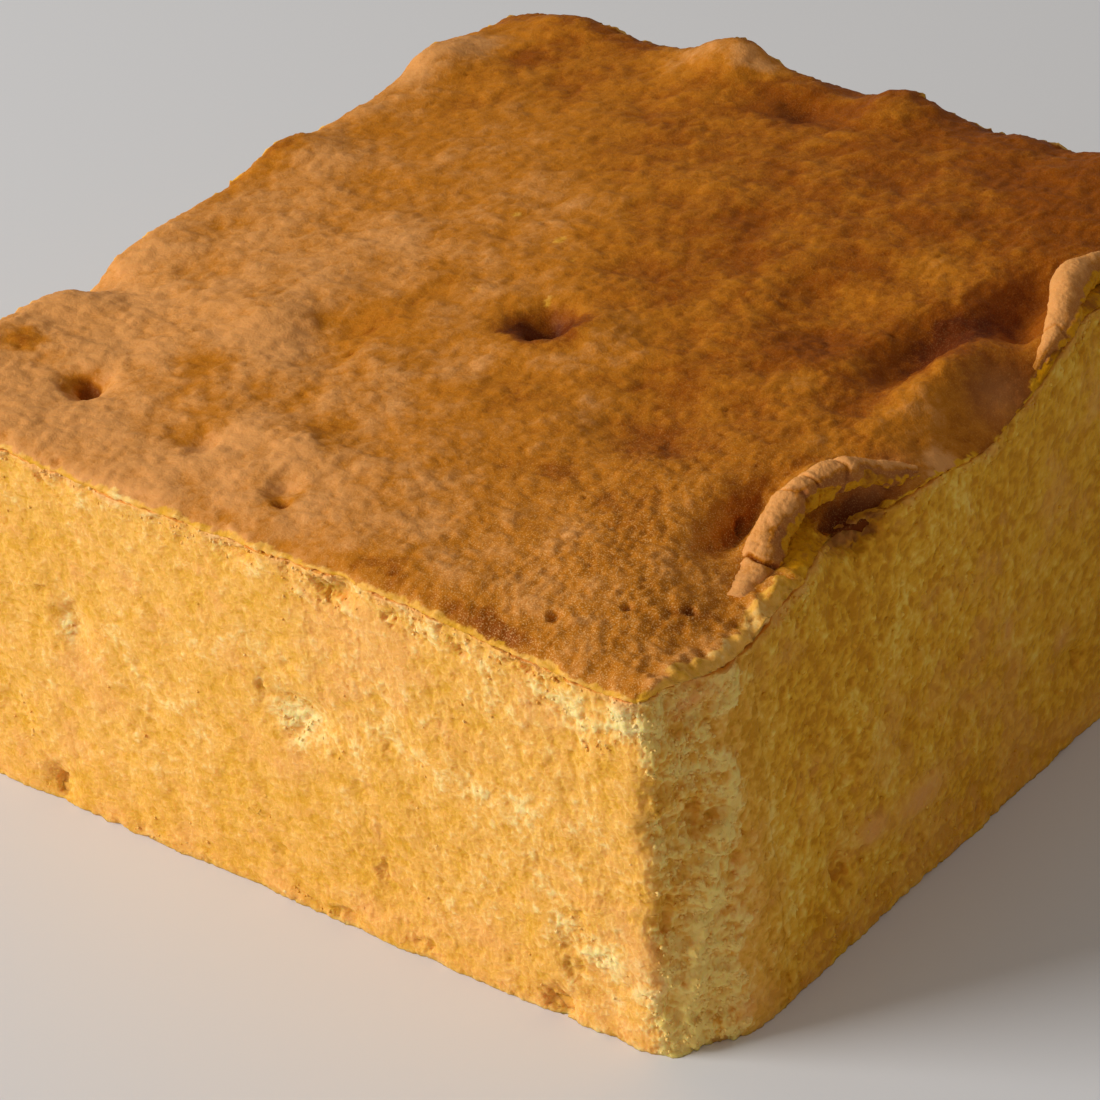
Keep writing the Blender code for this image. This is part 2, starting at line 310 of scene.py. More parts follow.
def noise(points, size, seed):
    """Value noise from -1 to 1: the eight nearest random numbers, blended by 3t^2 - 2t^3."""
    place = points @ TILT / size + seed * 7.31
    cell = np.floor(place)
    part = place - cell
    part = part * part * (3 - 2 * part)
    total = np.zeros(points.shape[:-1])
    for corner in range(8):
        step = np.array([corner & 1, corner >> 1 & 1, corner >> 2 & 1])
        weight = np.prod(np.where(step == 1, part, 1 - part), axis=-1)
        total += weight * lattice_random(cell + step, seed)
    return total * 2 - 1


def layered(points, size, layers, seed, keep=0.5):
    """Noise of halving size, each layer keep times the one before; about two thirds lie within 0.35 of 0."""
    total = np.zeros(points.shape[:-1])
    for layer in range(layers):
        total += keep ** layer * noise(points, size / 2 ** layer, seed + layer)
    return total / np.sqrt(np.sum(keep ** (2.0 * np.arange(layers))))


def balls(points, size, seed, radii=(0.5, 1.0), share=1.0):
    """One ball in each cell, its radius in cells: 1 - d^2 inside a ball, 0 outside, the highest wins."""
    place = points @ TILT / size
    home = np.floor(place)
    best = np.zeros(points.shape[:-1])
    for i in (-1, 0, 1):
        for j in (-1, 0, 1):
            for k in (-1, 0, 1):
                cell = home + np.array([i, j, k])
                centre = cell + np.stack([lattice_random(cell, seed + axis) for axis in range(3)], axis=-1)
                radius = radii[0] + (radii[1] - radii[0]) * lattice_random(cell, seed + 3)
                there = lattice_random(cell, seed + 4) < share
                distance = np.sum((place - centre) ** 2, axis=-1) / radius ** 2
                best = np.maximum(best, np.where(there, 1 - distance, 0))
    return best


def warped(points, size, reach, seed):
    """Points moved by noise, up to reach along each axis, so that balls set among them come out irregular."""
    shift = np.stack([noise(points, size, seed + axis) for axis in range(3)], axis=-1)
    return points + reach * shift


# %% [markdown]
# ## From arrays to meshes
#
# Every surface is a grid of points.  To be a closed body it also needs a back.  A copy of the surface,
# moved inwards, would do, but it would double the faces.  Since the back lies inside the cake, a fan of
# triangles from the grid's border to one inner point is enough.  Rings between the border and the fan
# give an edge its thickness.

# %% Helpers that make meshes
def grid_normals(grid):
    """Unit normals of a grid of points: the cross product of its two directions of change."""
    across = np.cross(np.gradient(grid, axis=0), np.gradient(grid, axis=1))
    return across / np.maximum(np.linalg.norm(across, axis=-1, keepdims=True), 1e-9)


def grid_quads(rows, columns):
    """Corner numbers of the faces of a grid."""
    first = (np.arange(rows - 1)[:, None] * columns + np.arange(columns - 1)[None, :]).ravel()
    return np.stack([first, first + columns, first + columns + 1, first + 1], axis=1)


def border(rows, columns):
    """Numbers of the grid's border points, once round."""
    number = np.arange(rows * columns).reshape(rows, columns)
    return np.concatenate([number[:-1, 0], number[-1, :-1], number[:0:-1, -1], number[0, :0:-1]])


def closed_body(grid, rings, inner):
    """Joins a grid, rings round its border and a fan to an inner point.  Returns points, quads and fan."""
    rows, columns = grid.shape[:2]
    points = [grid.reshape(-1, 3), *rings, np.array([inner], dtype=float)]
    loop = border(rows, columns)
    quads = [grid_quads(rows, columns)]
    count = rows * columns
    for ring in rings:
        following = count + np.arange(len(ring))
        quads.append(np.stack([loop, following, np.roll(following, -1), np.roll(loop, -1)], axis=1))
        loop = following
        count += len(ring)
    fan = np.stack([loop, np.full(len(loop), count), np.roll(loop, -1)], axis=1)
    return np.concatenate(points), np.concatenate(quads), fan


def signed_volume(points, quads, fan):
    """Sum of the volumes of the tetrahedra from the origin to each triangle: above 0 when faces look out."""
    thirds = np.concatenate([quads[:, [0, 1, 2]], quads[:, [0, 2, 3]], fan])
    a, b, c = points[thirds[:, 0]], points[thirds[:, 1]], points[thirds[:, 2]]
    return np.sum(np.cross(a, b) * c) / 6


def keep_inside(points, margin=0.01):
    """Clips points to the solid's box less a margin, so that the dressed cake is no larger than the solid."""
    low, high = (np.array(corner) / MM + BOX_MIDDLE for corner in solid_box)
    return np.clip(points, low + margin, high - margin)


def bend_under(height, room, bend=0.15):
    """Holds height below room by room - b ln(1 + e^((room - height) / b)), so that tips bend over."""
    return room - bend * np.logaddexp(0, (room - height) / bend)


def add_piece(name, points, quads, fan, material, marks, flat_from=None):
    """Makes a piece from points in millimetres, turned to face outwards, with its point values.

    Faces from number flat_from on are shaded flat: they are the hidden back, which must not bend the
    shading of the grid's border.
    """
    points = keep_inside(points) - BOX_MIDDLE
    if signed_volume(points, quads, fan) < 0:
        quads = quads[:, ::-1]
        fan = fan[:, ::-1]
    mesh = bpy.data.meshes.new(name)
    mesh.vertices.add(len(points))
    mesh.vertices.foreach_set("co", (points * MM).ravel())
    mesh.loops.add(quads.size + fan.size)
    mesh.loops.foreach_set("vertex_index", np.concatenate([quads.ravel(), fan.ravel()]))
    starts = np.concatenate([np.arange(len(quads)) * 4, quads.size + np.arange(len(fan)) * 3])
    mesh.polygons.add(len(starts))
    mesh.polygons.foreach_set("loop_start", starts)
    mesh.update(calc_edges=True)
    round_faces = np.ones(len(starts), dtype=bool)
    if flat_from is not None:
        round_faces[flat_from:] = False
    mesh.polygons.foreach_set("use_smooth", round_faces)
    for mark, values in marks.items():
        layer = mesh.attributes.new(mark, "FLOAT", "POINT")
        full = np.zeros(len(points))
        full[:len(values)] = values
        layer.data.foreach_set("value", full)
    mesh.validate()
    mesh.materials.append(material)
    piece = bpy.data.objects.new(name, mesh)
    bpy.context.scene.collection.objects.link(piece)
    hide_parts("butter_cake")
    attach(piece, "root")
    print(f"{name}: {len(points)} points, {len(quads) * 2 + len(fan)} triangles")
    return piece


# %% [markdown]
# ## Finishes
#
# Three things colour a butter cake.  Crumb is golden, paler where it was torn and deeper in its pits,
# because light that enters a pit bounces between its walls before it comes out.  The sides that touched
# the tin took a light toast.  The top is brown, darker towards the back and the right, and painted darker
# in its dents and pits, where shade falls.  The tone of crumb and the fine grain are groups of nodes,
# since more than one finish needs them.  Images could colour the cake too, but nodes stay sharp at any
# distance and need no file.  What changes from place to place is carried by the points of the mesh,
# under names such as tone and toast, with painted shade among them: the sides in shade get a deeper,
# less blue crumb.

# %% Helpers for node trees
def add_node(tree, kind, values=None, **settings):
    """Adds a node, sets its properties, then sets or links each input named or numbered in values."""
    node = tree.nodes.new(kind)
    for key, value in settings.items():
        setattr(node, key, value)
    for key, value in (values or {}).items():
        if isinstance(value, bpy.types.NodeSocket):
            tree.links.new(value, node.inputs[key])
        else:
            node.inputs[key].default_value = value
    return node


def colour(red, green, blue):
    """A colour with full cover, from its linear parts."""
    return (red, green, blue, 1.0)


def arithmetic(tree, operation, first, second):
    """One Math node's result."""
    return add_node(tree, "ShaderNodeMath", {0: first, 1: second}, operation=operation).outputs[0]


def scaled_add(tree, value, factor, rest):
    """value x factor + rest."""
    values = {0: value, 1: factor, 2: rest}
    return add_node(tree, "ShaderNodeMath", values, operation="MULTIPLY_ADD").outputs[0]


def ramp(tree, value, low, high):
    """0 where value is under low, 1 over high, smooth between."""
    values = {"Value": value, "From Min": low, "From Max": high}
    node = add_node(tree, "ShaderNodeMapRange", values, interpolation_type="SMOOTHSTEP")
    return node.outputs["Result"]


def mix(tree, share, first, second):
    """Mixes two colours by share, from first to second."""
    node = add_node(tree, "ShaderNodeMix", {0: share, 6: first, 7: second}, data_type="RGBA")
    return node.outputs[2]


def new_group(name, inputs, outputs):
    """A shader group, its inputs given as name, kind and value, and its outputs as name and kind."""
    group = bpy.data.node_groups.new(name, "ShaderNodeTree")
    for label, kind, value in inputs:
        socket = group.interface.new_socket(label, in_out="INPUT", socket_type="NodeSocket" + kind)
        if value is not None:
            socket.default_value = value
    for label, kind in outputs:
        group.interface.new_socket(label, in_out="OUTPUT", socket_type="NodeSocket" + kind)
    return group, group.nodes.new("NodeGroupInput").outputs, group.nodes.new("NodeGroupOutput").inputs


def use_group(tree, group, values):
    """Places a group in a tree and sets or links its inputs.  Returns its outputs."""
    node = tree.nodes.new("ShaderNodeGroup")
    node.node_tree = group
    for key, value in values.items():
        if isinstance(value, bpy.types.NodeSocket):
            tree.links.new(value, node.inputs[key])
        else:
            node.inputs[key].default_value = value
    return node.outputs


def point_value(tree, mark):
    """The value that each point of the mesh carries under this name."""
    return add_node(tree, "ShaderNodeAttribute", attribute_name=mark).outputs["Fac"]


# %% [markdown]
# Between the grains of the mesh there are finer ones.  Noise alone would look like sand.  A Voronoi
# texture gives bowls with walls between them, as foam has.

# %% Group: fine grain
def fine_grain_group():
    """Foam too fine for the mesh: bowls of the given size in millimetres with thin walls between them.

    The bowls are moved about by noise first, so that no two have the same outline.  The height runs
    from about 0 in the bowls to about 1 on the walls.
    """
    inputs = (("Vector", "Vector", None), ("Size", "Float", 0.5))
    group, given, result = new_group("fine_grain", inputs, (("Height", "Float"),))
    scale = arithmetic(group, "DIVIDE", 1000.0, given["Size"])
    cloud = add_node(group, "ShaderNodeTexNoise", {"Vector": given["Vector"], "Scale": scale, "Detail": 1.0})
    reach = arithmetic(group, "DIVIDE", 1.6, scale)
    push = add_node(group, "ShaderNodeVectorMath", {0: cloud.outputs["Color"], 3: reach}, operation="SCALE")
    moved = add_node(group, "ShaderNodeVectorMath", {0: given["Vector"], 1: push.outputs[0]}, operation="ADD")
    cells = add_node(group, "ShaderNodeTexVoronoi", {"Vector": moved.outputs[0], "Scale": scale})
    bowls = arithmetic(group, "MULTIPLY", cells.outputs["Distance"], 0.75)
    rough = arithmetic(group, "MULTIPLY", cloud.outputs["Fac"], 1.1)
    joined = arithmetic(group, "ADD", bowls, rough)
    group.links.new(arithmetic(group, "SUBTRACT", joined, 0.42), result["Height"])
    return group


# %% [markdown]
# The colour of crumb follows one number, its tone.  A single Color Ramp node could turn it into colours,
# but each of them also shifts to a deeper, less blue colour on the sides in shade, partly a deeper bake
# and partly painted shade, and so mixes in a row are used.

# %% Group: the tone of crumb
def crumb_tone_group():
    """Deep where light is caught in bubbles, golden on the flat, pale where torn, rosy tan where toasted.

    Tone runs from -1, scorched, through 0, deep, and 0.45, golden, to 1, pale.  The last input runs from 0,
    crumb in light, to 1, crumb on a side in shade, painted deeper and less blue, partly as a deeper bake.
    """
    inputs = (
        ("Tone", "Float", 0.45),
        ("Grain", "Float", 0.5),
        ("Toast", "Float", 0.0),
        ("Baked_and_Shaded", "Float", 0.0),
    )
    group, given, result = new_group("crumb_tone", inputs, (("Color", "Color"),))
    # each second colour is the deeper, less blue crumb that is painted on the sides in shade
    deep = mix(group, given["Baked_and_Shaded"], colour(0.74, 0.36, 0.022), colour(0.64, 0.27, 0.002))
    golden = mix(group, given["Baked_and_Shaded"], colour(0.87, 0.445, 0.080), colour(0.81, 0.400, 0.015))
    pale = mix(group, given["Baked_and_Shaded"], colour(0.98, 0.71, 0.27), colour(0.95, 0.60, 0.090))
    tan = mix(group, given["Baked_and_Shaded"], colour(0.87, 0.40, 0.115), colour(0.80, 0.36, 0.075))
    # painted light and shade: higher fine grain is painted paler and its bowls deeper
    tone = scaled_add(group, given["Grain"], 0.36, given["Tone"])
    tone = arithmetic(group, "SUBTRACT", tone, 0.18)
    # a dark brown for scorched crumb, also used as painted shade in hollows
    scorched_and_shade = colour(0.36, 0.12, 0.010)
    dark = mix(group, ramp(group, tone, -0.9, -0.2), scorched_and_shade, deep)
    low = mix(group, ramp(group, tone, -0.05, 0.5), dark, golden)
    base = mix(group, ramp(group, tone, 0.4, 1.05), low, pale)
    group.links.new(mix(group, given["Toast"], base, tan), result["Color"])
    return group


fine_grain = fine_grain_group()
crumb_tone = crumb_tone_group()
print("groups:", fine_grain.name, crumb_tone.name)


# %% Helpers that every finish uses
def new_material(name):
    """An empty material with a Principled shader.  Returns it, its tree, shader and object coordinates."""
    material = bpy.data.materials.new(name)
    material.use_nodes = True
    tree = material.node_tree
    tree.nodes.clear()
    shader = add_node(tree, "ShaderNodeBsdfPrincipled")
    output = add_node(tree, "ShaderNodeOutputMaterial")
    tree.links.new(shader.outputs[0], output.inputs["Surface"])
    place = add_node(tree, "ShaderNodeTexCoord").outputs["Object"]
    return material, tree, shader, place


def soften(shader, weight, depth):
    """Lets light spread under the surface: red goes deepest in baked dough, blue is held near the skin."""
    shader.inputs["Subsurface Weight"].default_value = weight
    shader.inputs["Subsurface Radius"].default_value = (1.0, 0.65, 0.30)
    shader.inputs["Subsurface Scale"].default_value = depth * MM


def bump(tree, shader, height, distance, strength):
    """Joins a height to the shader's normal."""
    values = {"Height": height, "Distance": distance * MM, "Strength": strength}
    tree.links.new(add_node(tree, "ShaderNodeBump", values).outputs["Normal"], shader.inputs["Normal"])


# %% [markdown]
# Crumb is matte, and a little light goes in and comes out again beside the place where it entered.  That
# softens its grain.  Loose crumbs are too small for it to show, so theirs is left out.

# %% Material: crumb
def crumb_material(name, depth):
    """Matte, and translucent to a depth.  Tone and toast come from the points, and the grain varies them.

    The points' soft is how much light spreads there.  It fades out at the border of a piece, since light
    can't cross over from the next piece, and its lack would draw a dark line along the seam.
    """
    material, tree, shader, place = new_material(name)
    grain = use_group(tree, fine_grain, {"Vector": place, "Size": 0.75})["Height"]
    values = {
        "Tone": point_value(tree, "tone"),
        "Grain": grain,
        "Toast": point_value(tree, "toast"),
        "Baked_and_Shaded": point_value(tree, "baked_and_shaded"),
    }
    tree.links.new(use_group(tree, crumb_tone, values)["Color"], shader.inputs["Base Color"])
    shader.inputs["Roughness"].default_value = 0.62
    shader.inputs["Specular IOR Level"].default_value = 0.22
    if depth > 0:
        soften(shader, 0.6, depth)
        tree.links.new(point_value(tree, "soft"), shader.inputs["Subsurface Weight"])
    bump(tree, shader, grain, 0.20, 0.8)
    return material


# %% [markdown]
# The crust is the same dough, dried to a skin.  One colour with darker noise would look painted.  Real
# skin goes from tan through brown to burnt as it bakes, so the finish mixes those colours by the points'
# bake, lets the fine grain push it to and fro, and gives way to crumb where the edge mask is high.

# %% Material: crust
DUST_SIZE = 0.22


def crust_material():
    """Brown skin, from tan to deep brown as it baked, freckled with sugar, crumb along its broken edge.

    The points' bake, with painted shade added in dents, pits and grooves, runs from 0, tan, through 0.5,
    brown, to 1, deep, and 2, burnt.  The sugar freckles also stand in for glints, as painted highlights.
    """
    material, tree, shader, place = new_material("crust")
    tan = colour(0.74, 0.325, 0.090)
    brown = colour(0.53, 0.178, 0.008)
    deep = colour(0.29, 0.070, 0.0005)
    burnt = colour(0.13, 0.022, 0.0006)
    coarse = use_group(tree, fine_grain, {"Vector": place, "Size": 0.70})["Height"]
    dust = add_node(tree, "ShaderNodeTexNoise", {"Vector": place, "Scale": 1000 / DUST_SIZE, "Detail": 1.0})
    dust = dust.outputs["Fac"]
    both = arithmetic(tree, "ADD", coarse, dust)
    # painted light and shade: higher fine grain makes the skin lighter and its hollows darker
    bake_and_shade = scaled_add(tree, both, -0.20, point_value(tree, "bake_and_shade"))
    bake_and_shade = arithmetic(tree, "ADD", bake_and_shade, 0.20)
    base = mix(tree, ramp(tree, bake_and_shade, -0.1, 0.55), tan, brown)
    base = mix(tree, ramp(tree, bake_and_shade, 0.45, 1.1), base, deep)
    base = mix(tree, ramp(tree, bake_and_shade, 1.0, 1.9), base, burnt)
    # painted sheen: a mauve colour where smooth skin lies in shade and catches a sheen
    shaded_sheen = mix(tree, point_value(tree, "shaded_sheen"), base, colour(0.44, 0.17, 0.050))
    # pale sugar specks, which also stand in for glints: painted highlights
    sugar_and_glints = arithmetic(tree, "MULTIPLY", ramp(tree, dust, 0.50, 0.76), point_value(tree, "sugar_and_glints"))
    freckled = mix(tree, sugar_and_glints, shaded_sheen, colour(0.88, 0.50, 0.18))
    values = {"Tone": point_value(tree, "tone"), "Grain": coarse, "Baked_and_Shaded": point_value(tree, "baked_and_shaded")}
    crumbly = use_group(tree, crumb_tone, values)["Color"]
    ragged = scaled_add(tree, coarse, 0.4, point_value(tree, "edge"))
    tree.links.new(mix(tree, ramp(tree, ragged, 0.4, 1.05), freckled, crumbly), shader.inputs["Base Color"])
    shader.inputs["Roughness"].default_value = 0.55
    shader.inputs["Specular IOR Level"].default_value = 0.07
    soften(shader, 0.12, 0.8)
    bump(tree, shader, both, 0.075, 0.8)
    return material


crumb = crumb_material("crumb", 1.6)
loose_crumb = crumb_material("loose_crumb", 0.0)
crust = crust_material()
print("finishes:", crumb.name, loose_crumb.name, crust.name)

# %% [markdown]
# ## The walls
#
# On a real cake the sides are crumb that the tin pressed flat.  They could be a box with a displacement
# modifier, but then each mark would have to be painted into a texture.  Here all four walls are one
# surface: a distance round the square and a level up the side give a point of the square block, and the
# form's functions move it to the cake.  The distance starts at the front left corner and runs along the
# front to 150, the right side to 300, the back to 450 and the left side to 600.  Its steps are shortest
# at the torn corner, which has the finest detail.

# %% The smooth walls
def stations(start, zones):
    """Places from start through each zone's end, evenly spaced inside a zone."""
    places = [np.array([start])]
    for end, steps in zones:
        places.append(np.linspace(places[-1][-1], end, steps + 1)[1:])
    return np.concatenate(places)


def outline(distance):
    """Point of the square at a distance round it: front, right, back, left."""
    side = np.floor(distance / (2 * HALF)) % 4
    part = distance % (2 * HALF) - HALF
    edge = np.full_like(part, HALF)
    x = np.select([side == 0, side == 1, side == 2], [part, edge, -part], -edge)
    y = np.select([side == 0, side == 1, side == 2], [-edge, part, edge], -part)
    return x, y


FRONT_END = 170.0
RIGHT_END = 300.0
ALL_ROUND = 600.0
ZONES = ((85.0, 142), (FRONT_END, 283), (230.0, 167), (RIGHT_END, 127), (ALL_ROUND, 333))     # end, steps
ROUND = stations(0.0, ZONES)
LEVELS = 200
UNDER_CRUST = 0.45          # how far below the rim the wall ends, where the skirt hides it
square_x, square_y = outline(ROUND)
rim_height = top_height(square_x, square_y)
level = np.linspace(0, 1, LEVELS)[None, :] * (1 - UNDER_CRUST / rim_height[:, None])
block_x = square_x[:, None] + 0 * level
block_y = square_y[:, None] + 0 * level
block_z = level * rim_height[:, None]
wall = shape(block_x, block_y, block_z)
closed_wall = np.concatenate([wall[-2:-1], wall, wall[1:2]])    # one column more at each end of the round
wall_normal = grid_normals(closed_wall)[1:-1]
around = ROUND[:, None] + 0 * level
print("wall from", wall.min(axis=(0, 1)).round(2), "to", wall.max(axis=(0, 1)).round(2))

# %% [markdown]
# What tore and what did not: the torn corner, the band of open crumb right under the crust, and pale
# craters where the paper pulled crumb away.  Everywhere else the crumb was pressed flat by the tin.
# Such marks could be painted by hand, but a table is easy to read and to change.  A row is a distance
# round the cake, a height, two half sizes, and a strength or depth.

# %% Marks on the walls
PALE_MARKS = (
    (33, 36.5, 1.8, 5.0, 0.9),
    (81, 35.8, 4.4, 4.2, 1.0),      # crater of the front
    (89, 33.5, 7.0, 2.4, 0.5),
    (100, 38.6, 6.0, 2.2, 0.4),
    (114, 36.5, 5.5, 2.8, 0.45),
    (123, 36.5, 4.5, 3.0, 0.4),
    (126, 18.3, 3.2, 2.0, 0.8),     # pale band that runs down to the corner's foot
    (133, 14.5, 4.4, 2.2, 0.9),
    (141.5, 10.5, 4.2, 2.8, 1.0),
    (147, 4.5, 4.5, 4.0, 0.8),
    (129.5, 56.8, 4.0, 3.0, 0.5),   # open crumb under the crust at the corner
    (136.5, 56.0, 4.0, 3.4, 0.75),
    (144.5, 57.5, 4.0, 3.4, 0.8),
    (149, 56.5, 2.6, 2.6, 0.9),
    (158, 46.0, 3.0, 3.0, 0.6),
    (156, 10.2, 2.6, 4.6, 0.8),
    (171, 39.0, 1.2, 6.0, 0.45),
    (190.5, 38.8, 1.7, 4.8, 0.6),
    (185.0, 33.0, 1.4, 4.0, 0.4),
    (204, 50.0, 2.0, 6.0, 0.35),
    (216, 40.0, 2.2, 7.0, 0.35),
)
PITS = (
    (29.5, 42.3, 1.3, 1.4, 0.7),
    (75.0, 63.4, 2.8, 0.9, 0.9),
    (92.5, 62.4, 3.0, 1.6, 1.8),    # the notch under the crust of the front
    (103.0, 61.1, 1.4, 1.4, 1.3),
    (116.5, 59.5, 1.3, 1.0, 0.9),
    (127.0, 61.3, 2.4, 1.0, 1.1),
    (135.0, 61.1, 1.8, 0.8, 0.9),
    (80.5, 45.7, 1.2, 1.8, 0.8),
    (74.5, 39.2, 0.9, 2.4, 0.6),
    (104.5, 37.3, 2.2, 0.8, 0.5),
    (71.5, 9.5, 1.6, 1.7, 0.8),
    (93.0, 14.1, 0.8, 2.6, 0.6),
    (98.0, 3.3, 3.0, 1.6, 0.8),
    (110.5, 22.7, 1.7, 1.9, 0.4),
    (22.5, 3.0, 1.4, 2.3, 1.4),
    (82.5, 1.8, 2.3, 1.7, 1.2),
    (123.5, 1.8, 2.6, 1.9, 1.4),
    (128.0, 10.0, 1.9, 2.5, 0.8),
    (150.2, 49.0, 1.6, 5.5, 0.8),
    (155.5, 39.2, 2.1, 3.0, 1.7),   # the large pore of the torn corner
    (161.0, 30.0, 1.8, 1.6, 1.0),
    (164.0, 33.6, 0.9, 1.2, 0.8),
    (147.5, 24.9, 1.6, 3.1, 1.5),
    (147.0, 9.0, 1.9, 3.7, 1.1),
    (188.0, 35.9, 1.2, 1.3, 1.0),
    (186.0, 27.7, 1.5, 2.4, 0.9),
    (184.0, 13.8, 1.4, 3.0, 1.2),
    (186.5, 20.8, 0.8, 3.0, 0.5),
    (243.5, 13.5, 1.7, 1.5, 1.0),
    (197.5, 62.0, 5.6, 3.2, 2.6),   # the hollow outside the near curl
)
TOAST_MARKS = (
    (190.5, 16.3, 3.6, 2.4, 1.0),   # flake of skin on the right side, in two parts
    (202.0, 15.2, 7.0, 2.8, 1.0),
    (158.0, 56.9, 4.2, 1.8, 1.0),   # toasted lip under the crust at the corner
    (111.5, 9.7, 6.0, 2.8, 0.55),
    (88.5, 5.2, 3.2, 2.6, 0.6),
    (69.5, 43.1, 3.2, 2.6, 0.35),
    (114.0, 44.2, 4.5, 2.2, 0.35),
    (160.0, 4.9, 3.6, 2.6, 0.6),
    (227.0, 28.8, 1.7, 2.3, 0.8),
    (240.0, 19.4, 2.5, 1.9, 0.7),
)
# painted shade: the hollow outside the near curl is painted a scorched dark brown where it lies in shade
SHADED_CAVITY = (                          # scorched hollow outside the near curl
    (197.0, 61.6, 4.6, 2.6, 1.0),
    (203.0, 63.2, 3.5, 1.6, 0.7),
)
RIDGE_Z = (0, 10, 17.5, 23, 32, 38, 45, 50, 57)                     # heights of the torn corner's
RIDGE_AT = (147, 151, 153, 155.5, 156.5, 163, 163, 165.5, 164)      # palest line, and its places
PIT_SHARE = 0.75


def patch(distance, z, table):
    """Highest bell curve of a table of marks."""
    best = np.zeros_like(z)
    for place, centre_z, half, half_z, strength in table:
        best = np.maximum(best, strength * bell(distance - place, half) * bell(z - centre_z, half_z))
    return best


def pits(distance, z, table):
    """Depth of bowls: depth times the root of 1 - (d / half width)^2 - (e / half height)^2, where above 0."""
    total = np.zeros_like(z)
    for place, centre_z, half, half_z, depth in table:
        bowl = 1 - ((distance - place) / half) ** 2 - ((z - centre_z) / half_z) ** 2
        total = np.maximum(total, depth * np.sqrt(np.clip(bowl, 0, 1)))
    return total


print(len(PALE_MARKS), "pale marks,", len(PITS), "pits and", len(TOAST_MARKS), "toasted marks")

# %% [markdown]
# A torn edge is never an ellipse, so the place where a mark is read is first moved by noise, here called
# wander.  Each mask below runs from 0 to 1, and openness, how torn the crumb is, is the highest of them.

# %% Where the crumb is torn
wander = np.stack([layered(wall, 4.0, 3, 201, 0.7), layered(wall, 4.0, 3, 211, 0.7)])
cut_front, cut_right = corner_cuts(block_z)
share = (around - 2 * HALF + cut_front) / (cut_front + cut_right)
strip = smooth(share + 0.08 * wander[0], -0.08, 0.10) * smooth(share + 0.22 * wander[1], 1.15, 0.85)
below_rim = rim_height[:, None] - block_z
band_depth = 3.5 + 4.5 * smooth(around, 95, 135) * smooth(around, 156, 148) + 1.5 * bell(around - 80, 25)
sides_with_band = smooth(around, 320, 290) + smooth(around, 580, 600)
band = smooth(below_rim / band_depth + 0.9 * wander[1], 1.3, 0.2) * sides_with_band
marks_pale = patch(around + 1.4 * wander[0], block_z + 1.4 * wander[1], PALE_MARKS)
marks_toast = patch(around + 1.0 * wander[1], block_z + 1.0 * wander[0], TOAST_MARKS)
from_ridge = around - np.interp(block_z, RIDGE_Z, RIDGE_AT)
ridge = strip * bell(from_ridge + 1.2 * wander[0], 2.6)
recess = strip * bell(from_ridge + 1.2 * wander[1] + 8.0, 3.5)
loose = 0.5 * smooth(layered(wall, 13.0, 3, 221, 0.6), 0.15, 0.75)
pressed = 0.16 + 0.26 * smooth(around, 150, 175) * smooth(around, 260, 200)     # never quite closed
openness = np.clip(np.maximum.reduce([strip, 0.9 * marks_pale, 0.85 * band, loose, pressed]), 0, 1)
# painted shade: the right side lies in shade and gets the deeper, less blue crumb; this fades along the back
# towards the lit left side, and the torn strip, also in shade, gets half of it
baked_and_shaded = smooth(around + 3 * wander[0], 2 * HALF + 2, 2 * HALF + 28) * smooth(around, 590, 570)
baked_and_shaded = np.maximum(baked_and_shaded * (1 - 0.7 * smooth(around, 330, 460)), 0.5 * strip)
print("share of the wall that is torn:", openness.mean().round(3))

# %% [markdown]
# Torn crumb stands open, with bowls of three sizes between lumps.  Crumb that the tin pressed has the same
# grain, but low.  One function gives both, so that one can pass into the other without a line.

# %% Grain of the crumb
def rough_grain(points):
    """The broken walls of the foam: three layers of noise, from 1.3 mm down."""
    return layered(points, 1.3, 3, 31, 0.8)


def small_bubbles(points):
    """Bowls of about a millimetre, moved about so that no two are alike."""
    return balls(warped(points, 1.2, 0.5, 41), 1.15, 45, (0.4, 0.8))


def crumb_grain(points, openness):
    """Height of the crumb in millimetres: lumps and rough grain, less the bowls of bubbles of three sizes.

    openness 1 is torn crumb, and 0 is crumb pressed flat by the tin.
    """
    lumps = layered(points, 6.0, 4, 21, 0.6)
    rough = rough_grain(points)
    small = small_bubbles(points)
    medium = balls(warped(points, 2.0, 1.0, 51), 2.3, 55, (0.3, 0.7), 0.6)
    large = balls(warped(points, 3.0, 1.6, 61), 5.0, 65, (0.16, 0.36), 0.6)
    flat = 0.10 * lumps + 0.13 * rough - 0.07 * small - 0.08 * medium - 0.12 * large
    open_crumb = 0.80 * lumps + 0.42 * rough - 0.30 * small - 0.36 * medium - 0.60 * large + 0.20
    return flat + (open_crumb - flat) * openness


# %% [markdown]
# The relief is the grain, less the pits, plus the pale ridge and the flake of skin.  It may not stick out
# of the solid's box, which tells other programs how much room the cake needs.  Cutting it off there would
# leave flat spots, so its highest tips are bent under instead.

